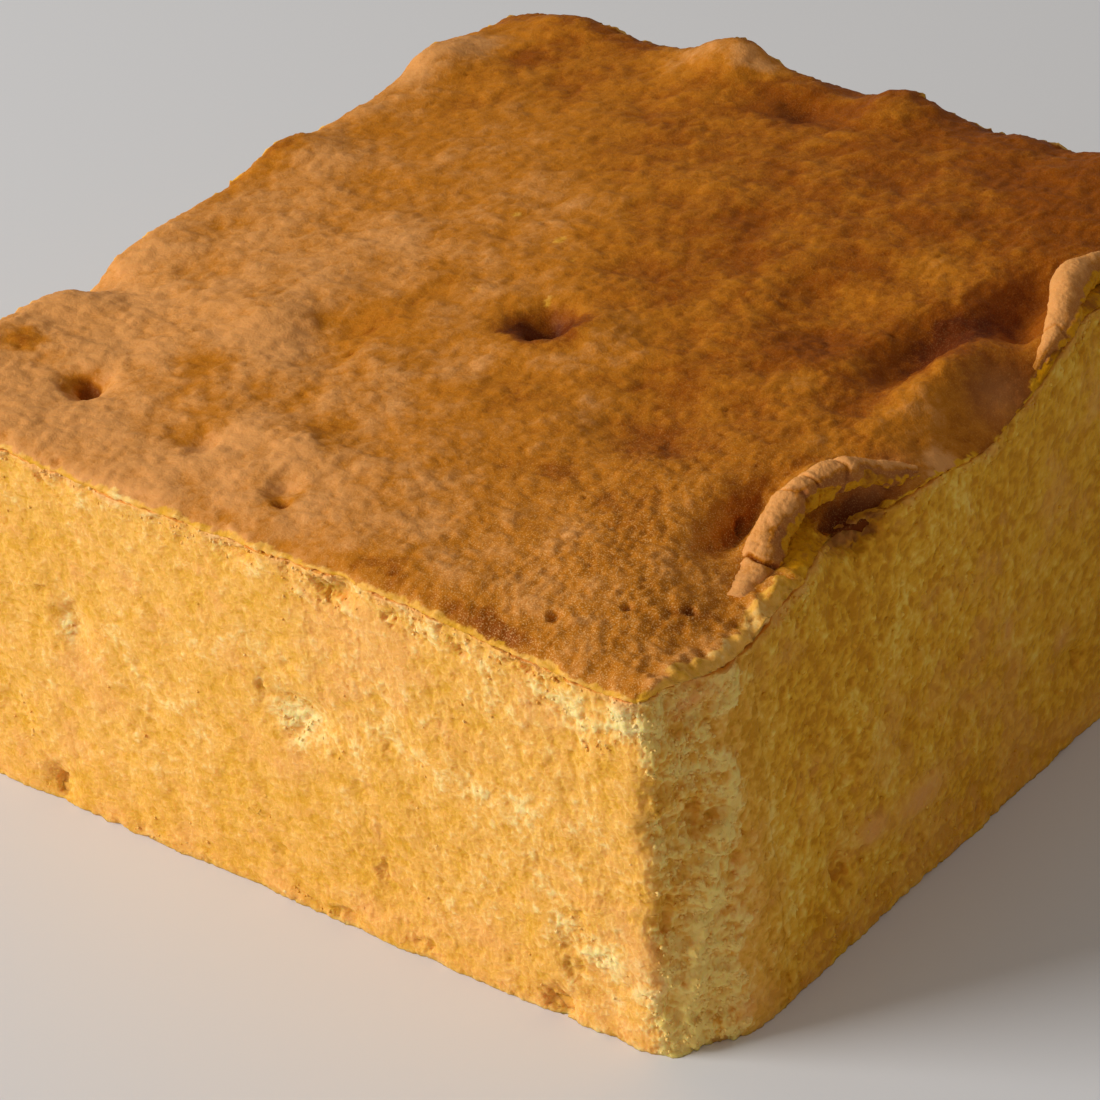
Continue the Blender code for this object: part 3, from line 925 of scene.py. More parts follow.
# %% Relief of the walls
jagged = np.stack([layered(wall, 2.2, 3, 271, 0.8), layered(wall, 2.2, 3, 281, 0.8)])
wall_pits = PIT_SHARE * pits(around + 1.1 * jagged[0], block_z + 1.1 * jagged[1], PITS)
openness = np.clip(openness + 0.5 * smooth(wall_pits, 0.0, 0.5), 0, 1)
wall_height = crumb_grain(wall, openness) - wall_pits + 1.3 * ridge - 0.4 * recess
flake = smooth(patch(around + 0.8 * wander[1], block_z + 0.8 * wander[0], TOAST_MARKS[:2]), 0.45, 0.60)
wall_height = wall_height * (1 - 0.7 * flake) + 0.40 * flake
SUNK = 0.05                 # the whole grain is lowered by this
BOX_GAP = 0.02
box_reach = np.array(solid_box[1][:2]) / MM - BOX_GAP - np.abs(wall[..., :2] - BOX_MIDDLE[:2])
room = (box_reach / np.maximum(np.abs(wall_normal[..., :2]), 0.2)).min(axis=-1)
wall_height = bend_under(wall_height - SUNK, room)


def jitter(points, seed):
    """A small push in a random direction, from noise of 0.8 mm."""
    return np.stack([noise(points, 0.8, seed + axis) for axis in range(3)], axis=-1)


loosened = 0.07 * jitter(wall, 231) * (0.4 + openness)[..., None]
rough_wall = wall + wall_normal * wall_height[..., None] + loosened
print("wall grain from", wall_height.min().round(2), "to", wall_height.max().round(2), "mm")

# %% [markdown]
# Tone is one number per point, from deep to pale.  It starts near golden, and clouds, grains and the marks
# above are added to it.  It could be a texture of its own, but the same grains shape the relief, so that
# a raised grain is also painted paler and a pit deeper, as painted light and shade of the grain.  The
# clouds of the right side are stretched upwards, as crumb is that rose along the tin.  Toast is the second
# number: 0 is bare crumb, and 1 is toasted skin.

# %% Tone of the crumb
streaked = wall * np.array([1.0, 1.0, 0.4])
upright = smooth(around, 150, 175) * smooth(around, 310, 290)
mottle = layered(wall, 9.0, 4, 241, 1.0) * (1 - upright)
mottle = mottle + 1.5 * layered(streaked, 5.0, 4, 251, 0.95) * upright
foot = smooth(block_z + 3 * wander[0], 13.0, 0.0) * smooth(strip, 0.6, 0.0)
grains = rough_grain(wall) - 0.3 * small_bubbles(wall)
tone = 0.36 + 0.19 * mottle * (1 + 0.5 * openness) + 0.12 * layered(wall, 22.0, 2, 291)
# painted light and shade: raised grains are painted paler, the hollows between them deeper
tone = tone + (0.42 + 0.14 * upright) * grains * (0.7 + 0.5 * openness)
tone = tone - 0.14 * smooth(around, 195, 235) * upright             # the right side, further back
# the torn strip is paler crumb; its crest is painted paler still, partly painted light where it catches the
# light, and the recess beside it a little deeper, as painted shade
tone = tone + 0.06 * upright + 0.40 * strip + 0.36 * ridge - 0.06 * recess
tone = tone + 0.50 * marks_pale + 0.10 * band - 0.14 * foot
# painted light and shade: the front is painted a little paler towards the torn corner and deeper at its left
# corner, which is nearer the light
tone = tone + 0.08 * smooth(around, 70, 140) * smooth(around, 150, 145)
tone = tone - 0.06 * (smooth(around, 60, 0) + smooth(around, 540, 600))     # the front left corner
# painted shade: pits are painted deeper
tone = tone - 0.30 * smooth(wall_pits, 0.1, 1.2)
# painted shade in the hollow outside the near curl
tone = tone - 1.2 * patch(around + wander[0], block_z + wander[1], SHADED_CAVITY)
toast = 0.50 * smooth(layered(wall, 15.0, 5, 261, 0.8), 0.0, 0.7) * (1 - 0.8 * openness)
toast = np.maximum(marks_toast, toast)
toast = np.maximum(toast, 0.7 * smooth(below_rim + 1.4 * wander[1], 2.6, 0.2) * smooth(wander[0], -0.7, 0.3))
toast = np.maximum(toast, 0.45 * foot * smooth(wander[1], -0.5, 0.6))
print("tone from", tone.min().round(2), "to", tone.max().round(2), "mean", tone.mean().round(2))

# %% [markdown]
# The surface could stay whole, but a file of one piece should hold fewer than 200,000 triangles, so it is
# cut into three.  They were worked out as one, so they meet exactly.  Two rings draw the border of a
# piece into the cake, where the fan of its back is out of sight.

# %% Pieces of the wall
HEART = (0.0, 0.0, 30.0)            # hidden point inside the cake, where the backs of its surfaces meet


def inward_ring(grid, inset):
    """The border of a grid, moved level towards the heart by inset millimetres."""
    loop = grid.reshape(-1, 3)[border(*grid.shape[:2])]
    towards = np.array(HEART) - loop
    towards[:, 2] = 0
    towards /= np.linalg.norm(towards, axis=1, keepdims=True)
    return loop + towards * inset


def wall_piece(name, first, last):
    """One piece of the wall, from a distance round the cake to another, with two rings that sink its back."""
    chosen = slice(int(np.argmin(np.abs(ROUND - first))), int(np.argmin(np.abs(ROUND - last))) + 1)
    grid = rough_wall[chosen]
    rings = [inward_ring(grid, 1.5), inward_ring(grid, 4.0) * (1, 1, 0.8)]
    points, quads, fan = closed_body(grid, rings, HEART)
    shown = (grid.shape[0] - 1) * (grid.shape[1] - 1)
    from_seam = np.minimum(around - first, last - around)[chosen]
    soft = 0.6 * smooth(from_seam, 0.0, 2.5) * smooth(below_rim[chosen], 0.4, 2.0)
    marks = {
        "tone": tone[chosen].ravel(),
        "toast": toast[chosen].ravel(),
        "baked_and_shaded": baked_and_shaded[chosen].ravel(),
        "soft": soft.ravel(),
    }
    return add_piece(name, points, quads, fan, crumb, marks, shown)


wall_piece("crumb_front", 0.0, FRONT_END)
wall_piece("crumb_right", FRONT_END, RIGHT_END)
wall_piece("crumb_back", RIGHT_END, ALL_ROUND)

# %% [markdown]
# ## The crust
#
# The crust is a skin that set early, then was lifted by the bubbles under it.  It could be a colour on
# one mesh with the walls, but it ends in a ragged line of its own thickness, so it is a piece of its own:
# the top surface, and a skirt over the rim.  The grid is finest by the torn corner, where the skin is
# sandy.

# %% The top of the crust
CRUST_X = stations(-HALF, ((-10.0, 116), (40.0, 96), (HALF, 90)))
CRUST_Y = stations(-HALF, ((-35.0, 105), (15.0, 100), (HALF, 94)))
flat_x, flat_y = np.meshgrid(CRUST_X, CRUST_Y, indexing="ij")
top = shape(flat_x, flat_y, top_height(flat_x, flat_y))
top_normal = grid_normals(top)
to_rim = np.minimum(HALF - np.abs(flat_x), HALF - np.abs(flat_y))
print("top from", top[..., 2].min().round(2), "to", top[..., 2].max().round(2), "mm high")

# %% [markdown]
# Pits, shades and specks are what a smooth crust lacks: holes where bubbles burst, places that baked
# darker or lighter or that carry painted shade or light, and crumbs that stick to the skin.  They are
# tables again, so that each can be moved.  A row is a place, two half sizes, and a depth or what the mark
# adds to the bake.

# %% Marks on the top
TOP_PITS = (
    (67.0, -57.0, 1.0, 0.9, 1.2),
    (60.5, -62.0, 0.7, 0.7, 0.9),
    (53.0, -68.5, 0.9, 0.8, 0.9),
    (59.8, -37.0, 0.5, 1.5, 1.2),
    (7.0, -14.2, 3.6, 3.2, 1.8),
    (-49.0, -55.5, 2.2, 1.8, 1.0),
    (2.0, -66.5, 1.5, 1.5, 0.9),
    (-16.5, -31.5, 0.9, 0.9, 0.6),
    (73.4, -26.0, 2.6, 5.4, 2.6),   # hollow outside the near curl
)
BAKE_AND_SHADE_MARKS = (                          # darker where above 0, lighter where below
    # painted shade and light: the deepest dent, the pits, the grooves inside the rolls, the valley behind the
    # fold and the hollow outside the near curl are painted darker, and the fold's lit side is painted
    # lighter; other rows are browner or paler skin
    (6.4, -13.4, 5.2, 4.6, 2.50),
    (-49.0, -55.5, 2.8, 2.4, 0.80),
    (2.0, -66.5, 2.2, 2.2, 0.60),
    (-19.5, -22.5, 7, 6, 0.40),
    (-16.5, -31.5, 1.8, 1.8, 0.40),
    (-34.5, -44.5, 6, 5, 0.32),
    (44.5, 3.0, 7, 7, 0.40),
    (40.5, -28.5, 7, 5, 0.32),
    (14.0, 26.5, 5, 5, 0.28),
    (22.0, 18.0, 4, 5, 0.25),
    (-4.5, 63.0, 6, 4, 0.70),
    (26.5, -71.0, 6, 2.6, 0.60),
    (47.5, -73.0, 8, 2.0, 0.50),
    (60.5, -38.5, 2.2, 7.0, 0.55),
    (67.0, -57.0, 2.6, 2.0, 0.45),
    (33.0, -42.5, 3, 3, 0.25),
    (-5.0, -50.5, 4, 4, 0.22),
    (15.0, -49.5, 3, 3, 0.22),
    (-58.5, 57.0, 5, 5, 0.40),
    (58.5, 14.0, 3.6, 10.0, 1.10),  # valley behind the broad fold
    (61.0, 27.0, 4, 7, 0.35),
    (73.2, -26.0, 3.0, 5.0, 0.70),
    (74.0, -9.5, 2.5, 3.5, -0.70),
    (-30.0, -35.0, 6, 5, -0.40),
    (-15.5, -58.5, 4, 5, -0.35),
    (17.5, -14.0, 6, 7, -0.40),
    (4.0, -25.5, 4, 9, -0.22),
    (-34.0, -3.0, 8, 6, -0.22),
    (-57.5, -33.0, 4, 4, -0.30),
    (47.5, 28.5, 7, 8, -0.32),
    (49.0, -8.0, 4, 5, -0.25),
    (30.0, -32.0, 4, 3, -0.25),
    (67.5, -3.0, 5, 7, -0.60),
    (-18.0, 71.0, 6, 4, -0.90),
    (-24.0, -52.0, 14, 11, 0.16),
    (-15.5, 16.5, 12, 10, -0.22),
    (-67.5, -45.0, 4, 4, -0.45),
    (74.0, -9.5, 2.0, 3.0, -0.6),
    (-67.5, 57.5, 5, 5, -0.50),
    (12.5, 67.5, 5, 5, -0.30),
    (60.0, 15.0, 3.2, 6, 0.45),
    (-68.0, -23.5, 3.0, 3.0, -0.80),
    (-72.5, 9.0, 3.5, 9, 0.35),
    (-31.0, 70.0, 8, 6, -0.60),
    (-72.0, 48.0, 5, 9, -0.55),
    (-66.0, -52.5, 4.5, 3.5, 0.8),
)
SPECKS = (                          # places of the crumbs
    (-24.5, 23.5), (-21.0, 12.0), (-9.0, 8.5), (-12.0, 19.5), (-11.0, -9.5), (1.5, -7.0), (-2.5, 4.0),
)
print(len(TOP_PITS), "pits,", len(BAKE_AND_SHADE_MARKS), "shades and", len(SPECKS), "specks")

# %% [markdown]
# At the right side the crust stood above the tin, and rolled over at two places as it dried.  The crust
# has to know where: it climbs to meet each roll from inside, and outside a roll it is bare crumb.

# %% Paths of the two rolls
NEAR_ROLL = (                       # x, y and z of the middle line, and the radius
    (70.0, -51.0, 60.6, 3.2),
    (68.3, -43.8, 62.2, 3.0),
    (67.0, -41.0, 63.8, 2.7),
    (66.2, -38.0, 65.8, 2.5),
    (66.2, -34.0, 67.4, 2.4),
    (66.9, -29.8, 68.0, 2.3),
    (68.2, -26.0, 68.2, 2.2),
    (69.6, -23.0, 67.8, 2.0),
    (71.4, -18.9, 66.0, 1.6),
    (73.0, -13.5, 63.2, 1.2),
)
FAR_ROLL = (
    (73.4, 11.0, 62.4, 1.1),
    (73.0, 15.8, 65.0, 1.3),
    (72.8, 19.8, 66.6, 1.5),
    (72.0, 24.2, 68.2, 2.1),
    (70.6, 27.0, 69.8, 2.4),
    (69.6, 29.8, 70.8, 2.4),
    (69.0, 33.5, 70.9, 2.4),
    (70.0, 37.5, 70.0, 2.3),
    (71.6, 41.0, 66.8, 2.2),
    (72.6, 44.5, 62.8, 2.0),
)


def roll_path(roll, count):
    """Points and radii of a rolled edge: straight runs between its rows, worn round by an average."""
    table = np.array(roll)
    spread = np.linspace(-0.06, 0.06, 13)
    places = np.clip(np.linspace(0, 1, count)[:, None] + spread[None, :], 0, 1)
    knots = np.linspace(0, 1, len(table))
    smoothed = np.stack([np.interp(places, knots, column).mean(axis=1) for column in table.T], axis=1)
    return smoothed[:, :3], smoothed[:, 3]


def outside_curl(roll):
    """1 on the ledge between a rolled edge and the side, 0 elsewhere."""
    path, _ = roll_path(roll, 60)
    curl_x = np.interp(flat_y, path[:, 1], path[:, 0], left=HALF + 9, right=HALF + 9)
    return smooth(flat_x - curl_x, 0.0, 1.2)


def under_curl(roll):
    """Height that the crust has to gain under a rolled edge to meet it: a bell curve across the roll."""
    path, radius = roll_path(roll, 60)
    curl_x, curl_z, curl_radius = (
        np.interp(flat_y, path[:, 1], values) for values in (path[:, 0], path[:, 2], radius)
    )
    ends = smooth(flat_y, path[0, 1] - 0.1, path[4, 1]) * smooth(flat_y, path[-1, 1] + 0.1, path[-5, 1])
    return ends * np.clip(curl_z - 0.4 * curl_radius - top[..., 2], 0, 5) * bell(flat_x - curl_x, 1.4)


# %% [markdown]
# The skin is beads of a millimetre on pebbles of two, on slow waves of eight.  Its edge mask says where
# the skin is gone: along the rim in a ragged line, on the ledges outside the rolls, and at the specks.
# There the walls' own crumb takes over.  Beside the torn corner a rim of crumb still stands.

# %% Relief of the crust
top_wander = np.stack([layered(top, 2.4, 3, 301, 0.7), layered(top, 2.4, 3, 305, 0.7)])
near_corner = smooth(flat_x, 70.5, 73) * smooth(flat_y, -39, -43)      # the right rim by the torn corner
near_rim = smooth(flat_x, 69.0, 74.0) * smooth(flat_y, -75, -70) * smooth(flat_y, -40, -45)
near_rim = near_rim * (1 + 0.8 * top_wander[1] + 0.5 * noise(top, 1.4, 309))
edge_width = 0.2 + 3.2 * near_corner + 0.7 * smooth(flat_y, -70, -74)
ragged = smooth(to_rim + (0.7 + 1.8 * near_corner) * top_wander[0], edge_width, 0.2 * edge_width)
ledge = outside_curl(NEAR_ROLL) * smooth(flat_y + 1.5 * top_wander[0], -29.5, -32.0)
ledge = ledge * smooth(flat_y, -45, -41)
ledge = 0.8 * np.maximum(ledge, outside_curl(FAR_ROLL))
specks = 0.75 * sum(bell(np.hypot(flat_x - x, flat_y - y) + 0.8 * top_wander[1], 0.9) for x, y in SPECKS)
# painted shade: the hollow under the near curl keeps the dark skin colour instead of crumb
shaded_hollow = np.clip(1.3 * bell(flat_x - HALF, 4.0) * bell(flat_y + 26.5, 5.0), 0, 1)      # keeps its skin
edge = np.clip(np.maximum.reduce([ragged, ledge, 0.9 * specks]), 0, 1) * (1 - shaded_hollow)
undulation = layered(top, 8.0, 2, 311)
rough = layered(top, 3.0, 4, 315, 0.75)
pebbles = balls(warped(top, 1.5, 0.7, 321), 2.2, 325, (0.4, 0.9)) - 0.4
beads = balls(warped(top, 0.8, 0.35, 331), 1.05, 335, (0.4, 0.9)) - 0.4
pinholes = balls(warped(top, 0.8, 0.3, 341), 5.0, 345, (0.05, 0.12), 0.35)
grainy = bell(flat_x - 60, 34) * bell(flat_y + 62, 28)         # sandy near the torn corner
crust_height = 0.32 * undulation + 0.26 * rough + 0.24 * pebbles
crust_height = crust_height + (0.10 + 0.22 * grainy) * beads - 0.5 * pinholes
crust_height = crust_height - pits(flat_x + 0.5 * top_wander[0], flat_y + 0.5 * top_wander[1], TOP_PITS)
crumbly_top = crumb_grain(top, 0.6 + 0.3 * near_corner)
crust_height = crust_height * (1 - edge) + edge * crumbly_top + 1.2 * near_rim
crust_height = crust_height + under_curl(NEAR_ROLL) + under_curl(FAR_ROLL)
rough_top = top + top_normal * crust_height[..., None] + 0.12 * jitter(top, 391) * edge[..., None]
print("crust grain from", crust_height.min().round(2), "to", crust_height.max().round(2), "mm")

# %% [markdown]
# The skin is darker towards the back and the right, and every dent and pit is painted darker, as painted
# shade, while raised skin is painted lighter.  It could be a colour ramp on the height, but a cake browns
# in patches too.  So one number per point sums the bake and the painted shade: a slow slope across the
# top, clouds, the grain's own height upside down, and the table of browner patches, painted shade and
# painted light.  A second number is how much of the pale sugar dust shows, which also stands in for
# glints, and a third is a mauve sheen painted on smooth skin where it lies in shade.

# %% How the crust browned, and where shade and light are painted
bake_and_shade = 0.51 + 0.0046 * flat_x + 0.0062 * flat_y + 0.20 * bell(flat_x - 32, 34) * bell(flat_y + 12, 30)
far_off = smooth(flat_y - flat_x, -90, 60)                     # towards the back left, clouds are fainter
bake_and_shade = bake_and_shade + (0.25 - 0.09 * far_off) * layered(top, 7.0, 4, 371, 0.85)
# painted shade and light: low places of the grain, dents and pits are painted darker, and raised skin lighter
bake_and_shade = bake_and_shade - (0.45 - 0.20 * grainy) * np.clip(crust_height, -1.2, 0.8)
shade_x, shade_y = flat_x + 1.5 * top_wander[0], flat_y + 1.5 * top_wander[1]
for place_x, place_y, half_x, half_y, darker in BAKE_AND_SHADE_MARKS:
    bake_and_shade = bake_and_shade + darker * bell(shade_x - place_x, half_x) * bell(shade_y - place_y, half_y)
front_edge = bell(flat_y + HALF - 1.6 + 0.8 * top_wander[0], 1.8) * smooth(flat_x, 64, 52)
front_edge = front_edge * (0.5 + 0.5 * smooth(flat_x, -10, 20))
far_rims = smooth(np.minimum(flat_x + HALF, HALF - flat_y) + 2.0 * top_wander[1], 6.0, 1.0)
bake_and_shade = bake_and_shade + 0.30 * front_edge + 0.12 * far_rims + 0.08 * grainy
# pale sugar dust near the torn corner, which also stands in for glints there: painted highlights
sugar_and_glints = 0.10 + 0.7 * grainy
# painted sheen: mauve on the sides of the broad fold and the near roll that face away from the light
shaded_sheen = 0.6 * bell(flat_x - 72, 3.6) * bell(flat_y - 7.5, 5.0)
shaded_sheen = shaded_sheen + 0.7 * bell(flat_x - 71.5, 2.6) * bell(flat_y + 18, 4.5)
# painted shade: the crumb of the right rim by the near curl lies in shade and gets the deeper, less blue
# colour
top_baked_and_shaded = smooth(flat_x, 60, 70) * smooth(flat_y, -46, -40)
# painted shade: the ledges outside the rolls lie in shade and get a deeper tone; raised crumb is painted
# paler and low crumb deeper
top_tone = 0.30 - 0.75 * ledge + (0.40 + 0.3 * ledge) * layered(top, 3.0, 3, 381, 0.9)
top_tone = top_tone + 0.45 * np.clip(crust_height, -0.8, 0.5) - 0.18 * near_corner
print("bake from", bake_and_shade.min().round(2), "to", bake_and_shade.max().round(2), "mean", bake_and_shade.mean().round(2))

# %% [markdown]
# The skirt is the lip of skin that hangs over the rim and frays into crumb.  A Solidify modifier would
# give it, but with an even lower edge.  Here rings of points go on from the top's border.  Each goes down
# by its share of a drop, which noise makes long or short, and a little inwards, so that the lip lies
# against the wall and its end is hidden.

# %% The skirt of the crust
SKIRT = (                           # share of the drop, and step outwards
    (0.2, 0.0), (0.45, -0.1), (0.7, -0.25), (0.9, -0.5), (1.0, -0.9), (0.9, -3.0),
)
loop = border(*top.shape[:2])
rim_x, rim_y = flat_x.ravel()[loop], flat_y.ravel()[loop]
rim_z = top_height(rim_x, rim_y)
rim_line = top.reshape(-1, 3)[loop]
along = np.roll(rim_line, -1, axis=0) - np.roll(rim_line, 1, axis=0)
outward = np.stack([along[:, 1], -along[:, 0], np.zeros(len(loop))], axis=1)
outward /= np.linalg.norm(outward, axis=1, keepdims=True)
drop = np.clip(0.9 + 1.1 * noise(rim_line, 2.6, 401) + 0.9 * noise(rim_line, 0.9, 402), 0.2, 2.6)
rim_corner, rim_edge, rim_shaded_hollow = (mask.ravel()[loop] for mask in (near_corner, edge, shaded_hollow))
skirt_grain = crumb_grain(shape(rim_x, rim_y, rim_z - 0.5 * drop), 0.35 + 0.4 * rim_corner) - 0.1
rim_around = np.select(
    [rim_y <= -HALF, rim_x >= HALF, rim_y >= HALF],
    [rim_x + HALF, rim_y + 3 * HALF, 5 * HALF - rim_x],
    7 * HALF - rim_y,
)
lift = crust_height.ravel()[loop]
rings = []
crumbled = []
fray = layered(rim_line, 1.6, 3, 421, 0.9)
for part, out in SKIRT:
    ring_z = rim_z + np.where(lift > 0, lift * (1 - part), lift) - part * drop
    notch = PIT_SHARE * pits(rim_around, ring_z, PITS)
    rings.append(shape(rim_x, rim_y, ring_z) + outward * (out + skirt_grain - notch)[:, None])
    broken = np.maximum.reduce([smooth(part + fray, 0.0, 0.7), rim_edge, rim_corner])
    crumbled.append(broken * (1 - rim_shaded_hollow))
rings.append((rings[-1] - outward) * (1, 1, 0.8))
crumbled.append(crumbled[-1])
points, quads, fan = closed_body(rough_top, rings, HEART)


def carried_down(values):
    """Values of the top, with those of its border repeated for each ring of the skirt."""
    return np.concatenate([values.ravel(), np.tile(values.ravel()[loop], len(rings))])


marks = {
    "tone": carried_down(top_tone),
    "edge": np.concatenate([edge.ravel(), *crumbled]),
    "baked_and_shaded": carried_down(top_baked_and_shaded),
    "bake_and_shade": carried_down(bake_and_shade),
    "sugar_and_glints": sugar_and_glints.ravel(),
    "shaded_sheen": shaded_sheen.ravel(),
}
SMOOTH_RINGS = 3                    # the skirt's further rings turn into the cake
shown = (len(CRUST_X) - 1) * (len(CRUST_Y) - 1) + SMOOTH_RINGS * len(loop)
add_piece("crust", points, quads, fan, crust, marks, shown)

# %% [markdown]
# ## The curls
#
# A rolled edge is dried skin, thick in the middle and sunk into the cake at both ends, lumpy, creased and
# cracked, with crumb on the side that tore off the wall.  A curve with a bevel would give a roll quickly,
# but as even as a hose.  Here each roll is a tube round one of the paths above, whose points are all
# moved along their own spokes.

# %% The rolled edges
def closed_tube(grid):
    """Joins rings of points into a tube with a fan at each end.  Returns points, quads and fans."""
    rings_count, sides = grid.shape[:2]
    number = np.arange(rings_count * sides).reshape(rings_count, sides)
    after = np.roll(number, -1, axis=1)
    quads = np.stack([number[:-1], number[1:], after[1:], after[:-1]], axis=-1).reshape(-1, 4)
    ends = np.stack([grid[0].mean(axis=0), grid[-1].mean(axis=0)])
    total = rings_count * sides
    near = np.stack([number[0], after[0], np.full(sides, total)], axis=1)
    far = np.stack([after[-1], number[-1], np.full(sides, total + 1)], axis=1)
    return np.concatenate([grid.reshape(-1, 3), ends]), quads, np.concatenate([near, far])


CURL_RINGS = 300
CURL_SIDES = 96


def add_curl(name, roll, cracks, lumps, painted_shade_side, seed):
    """A roll of crust: circles of a wandering radius round the path, skin on top and crumb outside.

    The wandering is noise of 7 mm, which makes the roll lumpy, with creases of 2 mm that run across it.  A
    crack is a narrow groove round the roll, given as its place from 0 to 1 and its depth.  The crumb on the
    side that faces out and down is the walls' own grain, and the dark side's number is the painted shade on
    the side that faces away from the light.
    """
    path, radius = roll_path(roll, CURL_RINGS)
    ahead = np.gradient(path, axis=0)
    step = np.linalg.norm(ahead, axis=1, keepdims=True)
    ahead /= step
    side = np.cross(ahead, (0, 0, 1))
    side /= np.linalg.norm(side, axis=1, keepdims=True)
    lift = np.cross(side, ahead)
    angle = np.linspace(0, 2 * np.pi, CURL_SIDES + 1)[:-1]
    spoke = side[:, None] * np.cos(angle)[None, :, None] + lift[:, None] * np.sin(angle)[None, :, None]
    tube = path[:, None] + spoke * radius[:, None, None]
    length = np.cumsum(step)[:, None] + 1.6 * noise(tube, 4.0, seed + 16) + 0.5 * noise(tube, 1.3, seed + 17)
    creases = np.abs(noise(np.stack([length, 0 * length, 0 * length + seed], axis=-1), 1.7, seed + 30))
    wrinkles = 0.26 * layered(tube, 2.4, 4, seed + 4, 0.8) + 0.22 * creases
    skin = 0.55 * layered(tube, 7.0, 3, seed, 0.55) + lumps * wrinkles
    crack = sum(depth * bell(length - place * step.sum(), 0.35) for place, depth in cracks)
    facing = spoke[..., 0] - 0.5 * spoke[..., 2] + 0.45 * layered(tube, 3.0, 3, seed + 20, 0.8)
    outer = smooth(facing, 0.75, 1.0) * smooth(spoke[..., 0], 0.1, 0.4)
    grain = skin - 0.9 * crack + outer * (crumb_grain(tube, np.full(facing.shape, 0.7)) + 0.1)
    points, quads, fans = closed_tube(tube + spoke * grain[..., None])
    marks = {
        # painted shade: the crumb on the roll's outer side lies in shade and gets a deep tone and the deeper
        # colour of shaded sides
        "tone": (-0.35 + 0.5 * layered(tube, 2.0, 3, seed + 24, 0.9)).ravel(),
        "edge": outer.ravel(),
        "baked_and_shaded": np.full(grain.size, 0.8),
        # painted light and shade: raised skin is lighter, cracks darker, and the side that faces away from
        # the light darker
        "bake_and_shade": (-0.05 - 0.8 * skin + 1.3 * crack + painted_shade_side * smooth(facing, -0.2, 0.6)).ravel(),
        "sugar_and_glints": np.full(grain.size, 0.25),
        # painted sheen on the roll's side that faces away from the light
        "shaded_sheen": (0.5 * smooth(facing, 0.15, 0.5)).ravel(),
    }
    return add_piece(name, points, quads, fans, crust, marks)


# %% Both curls
NEAR_CRACKS = ((0.20, 1.0), (0.47, 0.6), (0.55, 0.5), (0.68, 0.4))
FAR_CRACKS = ((0.30, 0.3),)
add_curl("near_curl", NEAR_ROLL, NEAR_CRACKS, lumps=0.75, painted_shade_side=0.9, seed=501)
add_curl("far_curl", FAR_ROLL, FAR_CRACKS, lumps=0.55, painted_shade_side=0.55, seed=551)

# %% [markdown]
# ## Loose crumbs
#
# Torn crumb is never clean: small grains hang on it.  A particle system could scatter them, but grains
# that are part of one mesh go wherever the mesh goes.  Each grain is a twenty-sided body, squashed and
# turned by random numbers.  They sit where the crumb is open, closest together at the torn corner.

# %% Crumbs
def icosahedron():
    """The twelve corners (0, 1, golden ratio) and their turns, and the twenty faces that join them."""
    golden = (1 + 5 ** 0.5) / 2
    corners = np.array([
        (-1, golden, 0), (1, golden, 0), (-1, -golden, 0), (1, -golden, 0),
        (0, -1, golden), (0, 1, golden), (0, -1, -golden), (0, 1, -golden),
        (golden, 0, -1), (golden, 0, 1), (-golden, 0, -1), (-golden, 0, 1),
    ])
    faces = np.array([
        (0, 11, 5), (0, 5, 1), (0, 1, 7), (0, 7, 10), (0, 10, 11),
        (1, 5, 9), (5, 11, 4), (11, 10, 2), (10, 7, 6), (7, 1, 8),
        (3, 9, 4), (3, 4, 2), (3, 2, 6), (3, 6, 8), (3, 8, 9),
        (4, 9, 5), (2, 4, 11), (6, 2, 10), (8, 6, 7), (9, 8, 1),
    ])
    return corners / np.hypot(1, golden), faces


def crumb_bodies(rng, radii):
    """Twenty-sided bodies round the origin: corner x dent x squash x radius, then a random turn.

    A turn that mirrors a body also turns it inside out, so its faces are listed the other way round.
    """
    corners, faces = icosahedron()
    count = len(radii)
    squash = rng.uniform(0.6, 1.3, (count, 1, 3))
    turns, _ = np.linalg.qr(rng.normal(size=(count, 3, 3)))
    dents = 1 + rng.uniform(-0.25, 0.25, (count, len(corners), 1))
    bodies = corners[None] * dents * squash * radii[:, None, None] @ turns
    all_faces = faces[None] + len(corners) * np.arange(count)[:, None, None]
    mirrored = np.linalg.det(turns) < 0
    all_faces[mirrored] = all_faces[mirrored][:, :, ::-1]
    return bodies, all_faces.reshape(-1, 3)


CRUMB_SIZES = (0.14, 0.36)          # radii
CRUMBS_END = 260.0                  # distance round the cake


def add_crumbs(name, count):
    """Scatters grains over the front and most of the right side, more of them where openness is high.

    A point's chance is its openness past 0.3, times the width of its cell, and none in a pit.
    """
    rng = np.random.default_rng(77)
    columns = ROUND < CRUMBS_END
    cell_width = np.gradient(ROUND)[:, None]
    chance = (0.004 + np.maximum(openness - 0.3, 0)) * cell_width * (wall_pits < 0.3) * columns[:, None]
    chance[:, :3] = 0               # none so low that they would touch the table
    chosen = rng.choice(chance.size, count, replace=False, p=(chance / chance.sum()).ravel())
    radii = rng.uniform(*CRUMB_SIZES, count)
    bodies, faces = crumb_bodies(rng, radii)
    centres = keep_inside(rough_wall.reshape(-1, 3)[chosen], 1.4 * radii[:, None])
    points = (bodies + centres[:, None]).reshape(-1, 3)
    lighter = rng.uniform(0.0, 0.35, count)
    marks = {
        "tone": np.maximum(tone.ravel()[chosen], 0.0) + lighter,
        "toast": 0.4 * toast.ravel()[chosen],
        "baked_and_shaded": baked_and_shaded.ravel()[chosen],
    }
    marks = {mark: np.repeat(values, bodies.shape[1]) for mark, values in marks.items()}
    return add_piece(name, points, np.zeros((0, 4), dtype=int), faces, loose_crumb, marks)


CRUMB_COUNT = 1800
add_crumbs("crumbs", CRUMB_COUNT)

